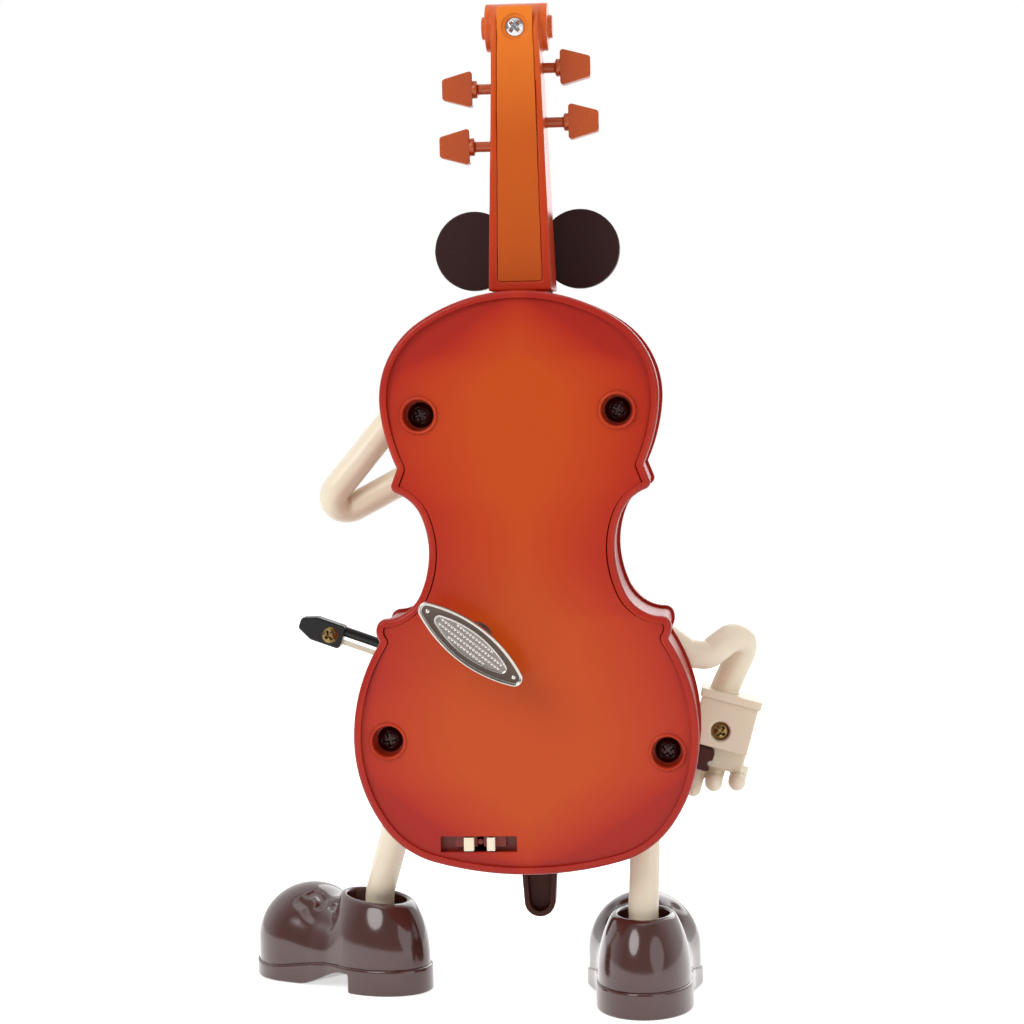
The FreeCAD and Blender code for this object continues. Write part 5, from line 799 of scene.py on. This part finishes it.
# Screw wells: a thin bead round each of the four holes, made by Geometry Nodes
wellBeads = {
    "radius": 3.5, "wire": 0.28, "sides": 64, "wireSides": 10,
    # hole centre across, height of its rim, and up
    "holes": ((-20.2, -14.05, 123.0), (19.8, -14.06, 123.3), (-28.0, -13.56, 57.0), (28.6, -13.36, 54.2)),
    "smoothDegrees": 80.0,
}


def addWellBeads():
    tree, given, values = newTree("wellBeads", {
        "Bead Radius": wellBeads["radius"] * mm, "Wire Radius": wellBeads["wire"] * mm,
        "Sides": wellBeads["sides"], "Wire Sides": wellBeads["wireSides"]})
    path = addNode(tree, "GeometryNodeCurvePrimitiveCircle", {"Resolution": given["Sides"],
                                                              "Radius": given["Bead Radius"]})
    wire = addNode(tree, "GeometryNodeCurvePrimitiveCircle", {"Resolution": given["Wire Sides"],
                                                              "Radius": given["Wire Radius"]})
    bead = addNode(tree, "GeometryNodeCurveToMesh", {"Curve": path.outputs[0],
                                                     "Profile Curve": wire.outputs[0]})
    endTree(tree, given["Geometry"], bead.outputs[0], (math.pi / 2, 0, 0), "shell_red")
    points = bpy.data.meshes.new("wellPlaces")
    points.from_pydata([place(*hole) for hole in wellBeads["holes"]], [], [])
    shape = bmesh.new()
    shape.from_mesh(growMesh("wellBeads", tree, values, points))
    mesh = closeMesh(shape, "screwWellBeads", wellBeads["smoothDegrees"])
    addPiece("screwWellBeads", mesh, "cello", "shell_red")


addWellBeads()


# Switch: cream prongs on a base painted dark red as shade deep in the slot, and dark red plates of painted
# shade seen through the ends of the slot
switch = {
    # what lies nearer to the back than this is a prong
    "prongBehind": -11.3,
    # plates of painted shade at the slot's ends: low and high corner
    "shadeBeds": (((-18.6, -10.2, 33.6), (-13.2, -10.0, 38.2)), ((-6.8, -10.2, 33.6), (-1.4, -10.0, 38.2))),
}


def addSwitch():
    shape = bmesh.new()
    shape.from_mesh(mergedCopy("switchBase", ["switch_slider"]))
    behind = place(0, switch["prongBehind"], 0).y
    # the slider's faces deeper in the slot than the prongs are painted dark red as shade
    for face in shape.faces:
        face.material_index = 0 if face.calc_center_median().y < behind else 1
    mesh = bpy.data.meshes.new("switchProngs")
    shape.to_mesh(mesh)
    shape.free()
    mesh.materials.append(materials["limb_cream"])
    mesh.materials.append(materials["switchRedInShade"])
    addPiece("switchProngs", mesh, "switch", "limb_cream", ["switch_slider"])


def addSwitchShadeBed():
    shape = bmesh.new()
    for low, high in switch["shadeBeds"]:
        low, high = place(*low), place(*high)
        fit = Matrix.Translation((low + high) / 2) @ Matrix.Diagonal((*(high - low), 1.0))
        bmesh.ops.create_cube(shape, size=1.0, matrix=fit)
    addPiece("switchBed", closeMesh(shape, "switchBed"), "cello", "shell_red", skin="switchRedInShade")


addSwitch()
addSwitchShadeBed()


# Small moulding mark on the back of the left tie lobe
gateMark = {"x": -15.5, "y": 17.2, "z": 157.4, "radius": 0.55, "wire": 0.12, "sunk": 0.06, "steps": 8,
            "sides": 32, "smoothDegrees": 80.0}


def addGateMark():
    shape = bmesh.new()
    rings, spins = [], [math.tau * spin / gateMark["sides"] for spin in range(gateMark["sides"])]
    for step in range(gateMark["steps"] + 1):
        turn = math.pi * step / gateMark["steps"]
        wide = gateMark["radius"] + gateMark["wire"] * math.cos(turn)
        deep = gateMark["y"] + gateMark["sunk"] - gateMark["wire"] * math.sin(turn)
        rings.append([place(gateMark["x"] + wide * math.cos(spin), deep,
                            gateMark["z"] + wide * math.sin(spin)) for spin in spins])
    rings.append(rings[0])
    addRings(shape, rings)
    mesh = closeMesh(shape, "tieGateMark", gateMark["smoothDegrees"])
    addPiece("tieGateMark", mesh, "cello", "tie_brown")


addGateMark()
print("key and small marks built")


# Studio: white floor and surroundings, soft lamps, camera where the photograph was taken
studio = {
    "floorHalf": 1.5, "floorGlow": 0.64,
    "distance": 560.0, "azimuth": 5.0, "elevation": 3.0, "roll": 1.25, "targetX": -2.9, "targetZ": 102.5,
    "mmPerPixel": 0.2062, "pictureSide": 1024, "sensor": 36.0,
    # fill light of the room, and how bright its dim side looks in gloss, between these directions
    "worldFill": 0.5, "roomLevel": 0.3, "roomFrom": -0.35, "roomTo": 0.35,
    # name: place in mm, power in watts, size in metres
    "lamps": {"keyLamp": ((-420, -560, 520), 3.0, 0.5), "fillLamp": ((520, -480, 260), 1.1, 0.6),
              "topLamp": ((0, -60, 800), 1.2, 0.7), "frontLamp": ((200, 600, 400), 1.6, 0.6)},
}


def floorPaper():
    # white paper: plain white to the eye, grey only where the toy keeps light off it
    material, tree, shader = newMaterial("PaperFloor", **{"Base Color": linear("#FFFFFF"), "Roughness": 0.9})
    rays = addNode(tree, "ShaderNodeLightPath")
    seen = addNode(tree, "ShaderNodeMath", {0: rays.outputs["Is Camera Ray"],
                                            1: rays.outputs["Is Glossy Ray"]}, operation="MAXIMUM")
    glow = addNode(tree, "ShaderNodeMath", {0: seen.outputs[0], 1: studio["floorGlow"]}, operation="MULTIPLY")
    shader.inputs["Emission Color"].default_value = linear("#FFFFFF")
    tree.links.new(glow.outputs[0], shader.inputs["Emission Strength"])
    return material


def addFloor():
    half = studio["floorHalf"]
    mesh = bpy.data.meshes.new("studioFloor")
    mesh.from_pydata([(-half, -half, 0), (half, -half, 0), (half, half, 0), (-half, half, 0)], [],
                     [(0, 1, 2, 3)])
    mesh.materials.append(floorPaper())
    floor = bpy.data.objects.new("studioFloor", mesh)
    scene.collection.objects.link(floor)


def addLamp(name, location, target, power, size):
    data = bpy.data.lights.new(name, "AREA")
    data.energy = power
    data.shape = "DISK"
    data.size = size
    lamp = bpy.data.objects.new(name, data)
    lamp.location = location
    lamp.rotation_euler = (target - location).to_track_quat("-Z", "Y").to_euler()
    scene.collection.objects.link(lamp)


def addCamera():
    azimuth, elevation, roll = (math.radians(studio[key]) for key in ("azimuth", "elevation", "roll"))
    target = place(studio["targetX"], 0, studio["targetZ"])
    away = Vector((math.sin(azimuth) * math.cos(elevation), -math.cos(azimuth) * math.cos(elevation),
                   math.sin(elevation)))
    data = bpy.data.cameras.new("photoCamera")
    data.sensor_width = studio["sensor"]
    data.lens = studio["sensor"] * studio["distance"] / studio["mmPerPixel"] / studio["pictureSide"]
    data.clip_end = 20.0
    camera = bpy.data.objects.new("photoCamera", data)
    turn = (-away).to_track_quat("-Z", "Y").to_matrix().to_4x4() @ Matrix.Rotation(-roll, 4, "Z")
    camera.matrix_world = Matrix.Translation(target + away * studio["distance"] * mm) @ turn
    scene.collection.objects.link(camera)
    scene.camera = camera


def addWorld():
    world = bpy.data.worlds.new("studioWorld")
    scene.world = world
    world.use_nodes = True
    tree = world.node_tree
    tree.nodes.clear()
    rays = addNode(tree, "ShaderNodeLightPath").outputs
    seen = addNode(tree, "ShaderNodeMath", {0: rays["Is Camera Ray"], 1: rays["Is Transmission Ray"]},
                   operation="MAXIMUM")
    white = addNode(tree, "ShaderNodeBackground", {"Color": linear("#FFFFFF"), "Strength": 1.0})
    fill = addNode(tree, "ShaderNodeBackground", {"Color": linear("#FFFFFF"),
                                                  "Strength": studio["worldFill"]})
    mix = addNode(tree, "ShaderNodeMixShader", {0: seen.outputs[0], 1: fill.outputs[0], 2: white.outputs[0]})
    # gloss shows the white paper behind the toy, and a dimmer room on the camera's side
    way = addNode(tree, "ShaderNodeTexCoord").outputs["Generated"]
    side = addNode(tree, "ShaderNodeSeparateXYZ", {0: way}).outputs["Y"]
    room = addNode(tree, "ShaderNodeMapRange", {
        "Value": side, "From Min": studio["roomFrom"], "From Max": studio["roomTo"],
        "To Min": studio["roomLevel"], "To Max": 1.0})
    shown = addNode(tree, "ShaderNodeBackground", {"Color": linear("#FFFFFF"),
                                                   "Strength": room.outputs["Result"]})
    mix = addNode(tree, "ShaderNodeMixShader", {0: rays["Is Glossy Ray"], 1: mix.outputs[0],
                                                2: shown.outputs[0]})
    output = addNode(tree, "ShaderNodeOutputWorld")
    tree.links.new(mix.outputs[0], output.inputs["Surface"])


addFloor()
addWorld()
for name, (spot, power, size) in studio["lamps"].items():
    addLamp(name, place(*spot), place(0, 0, 100), power, size)
addCamera()
scene.view_settings.view_transform = "Standard"
print("studio built")
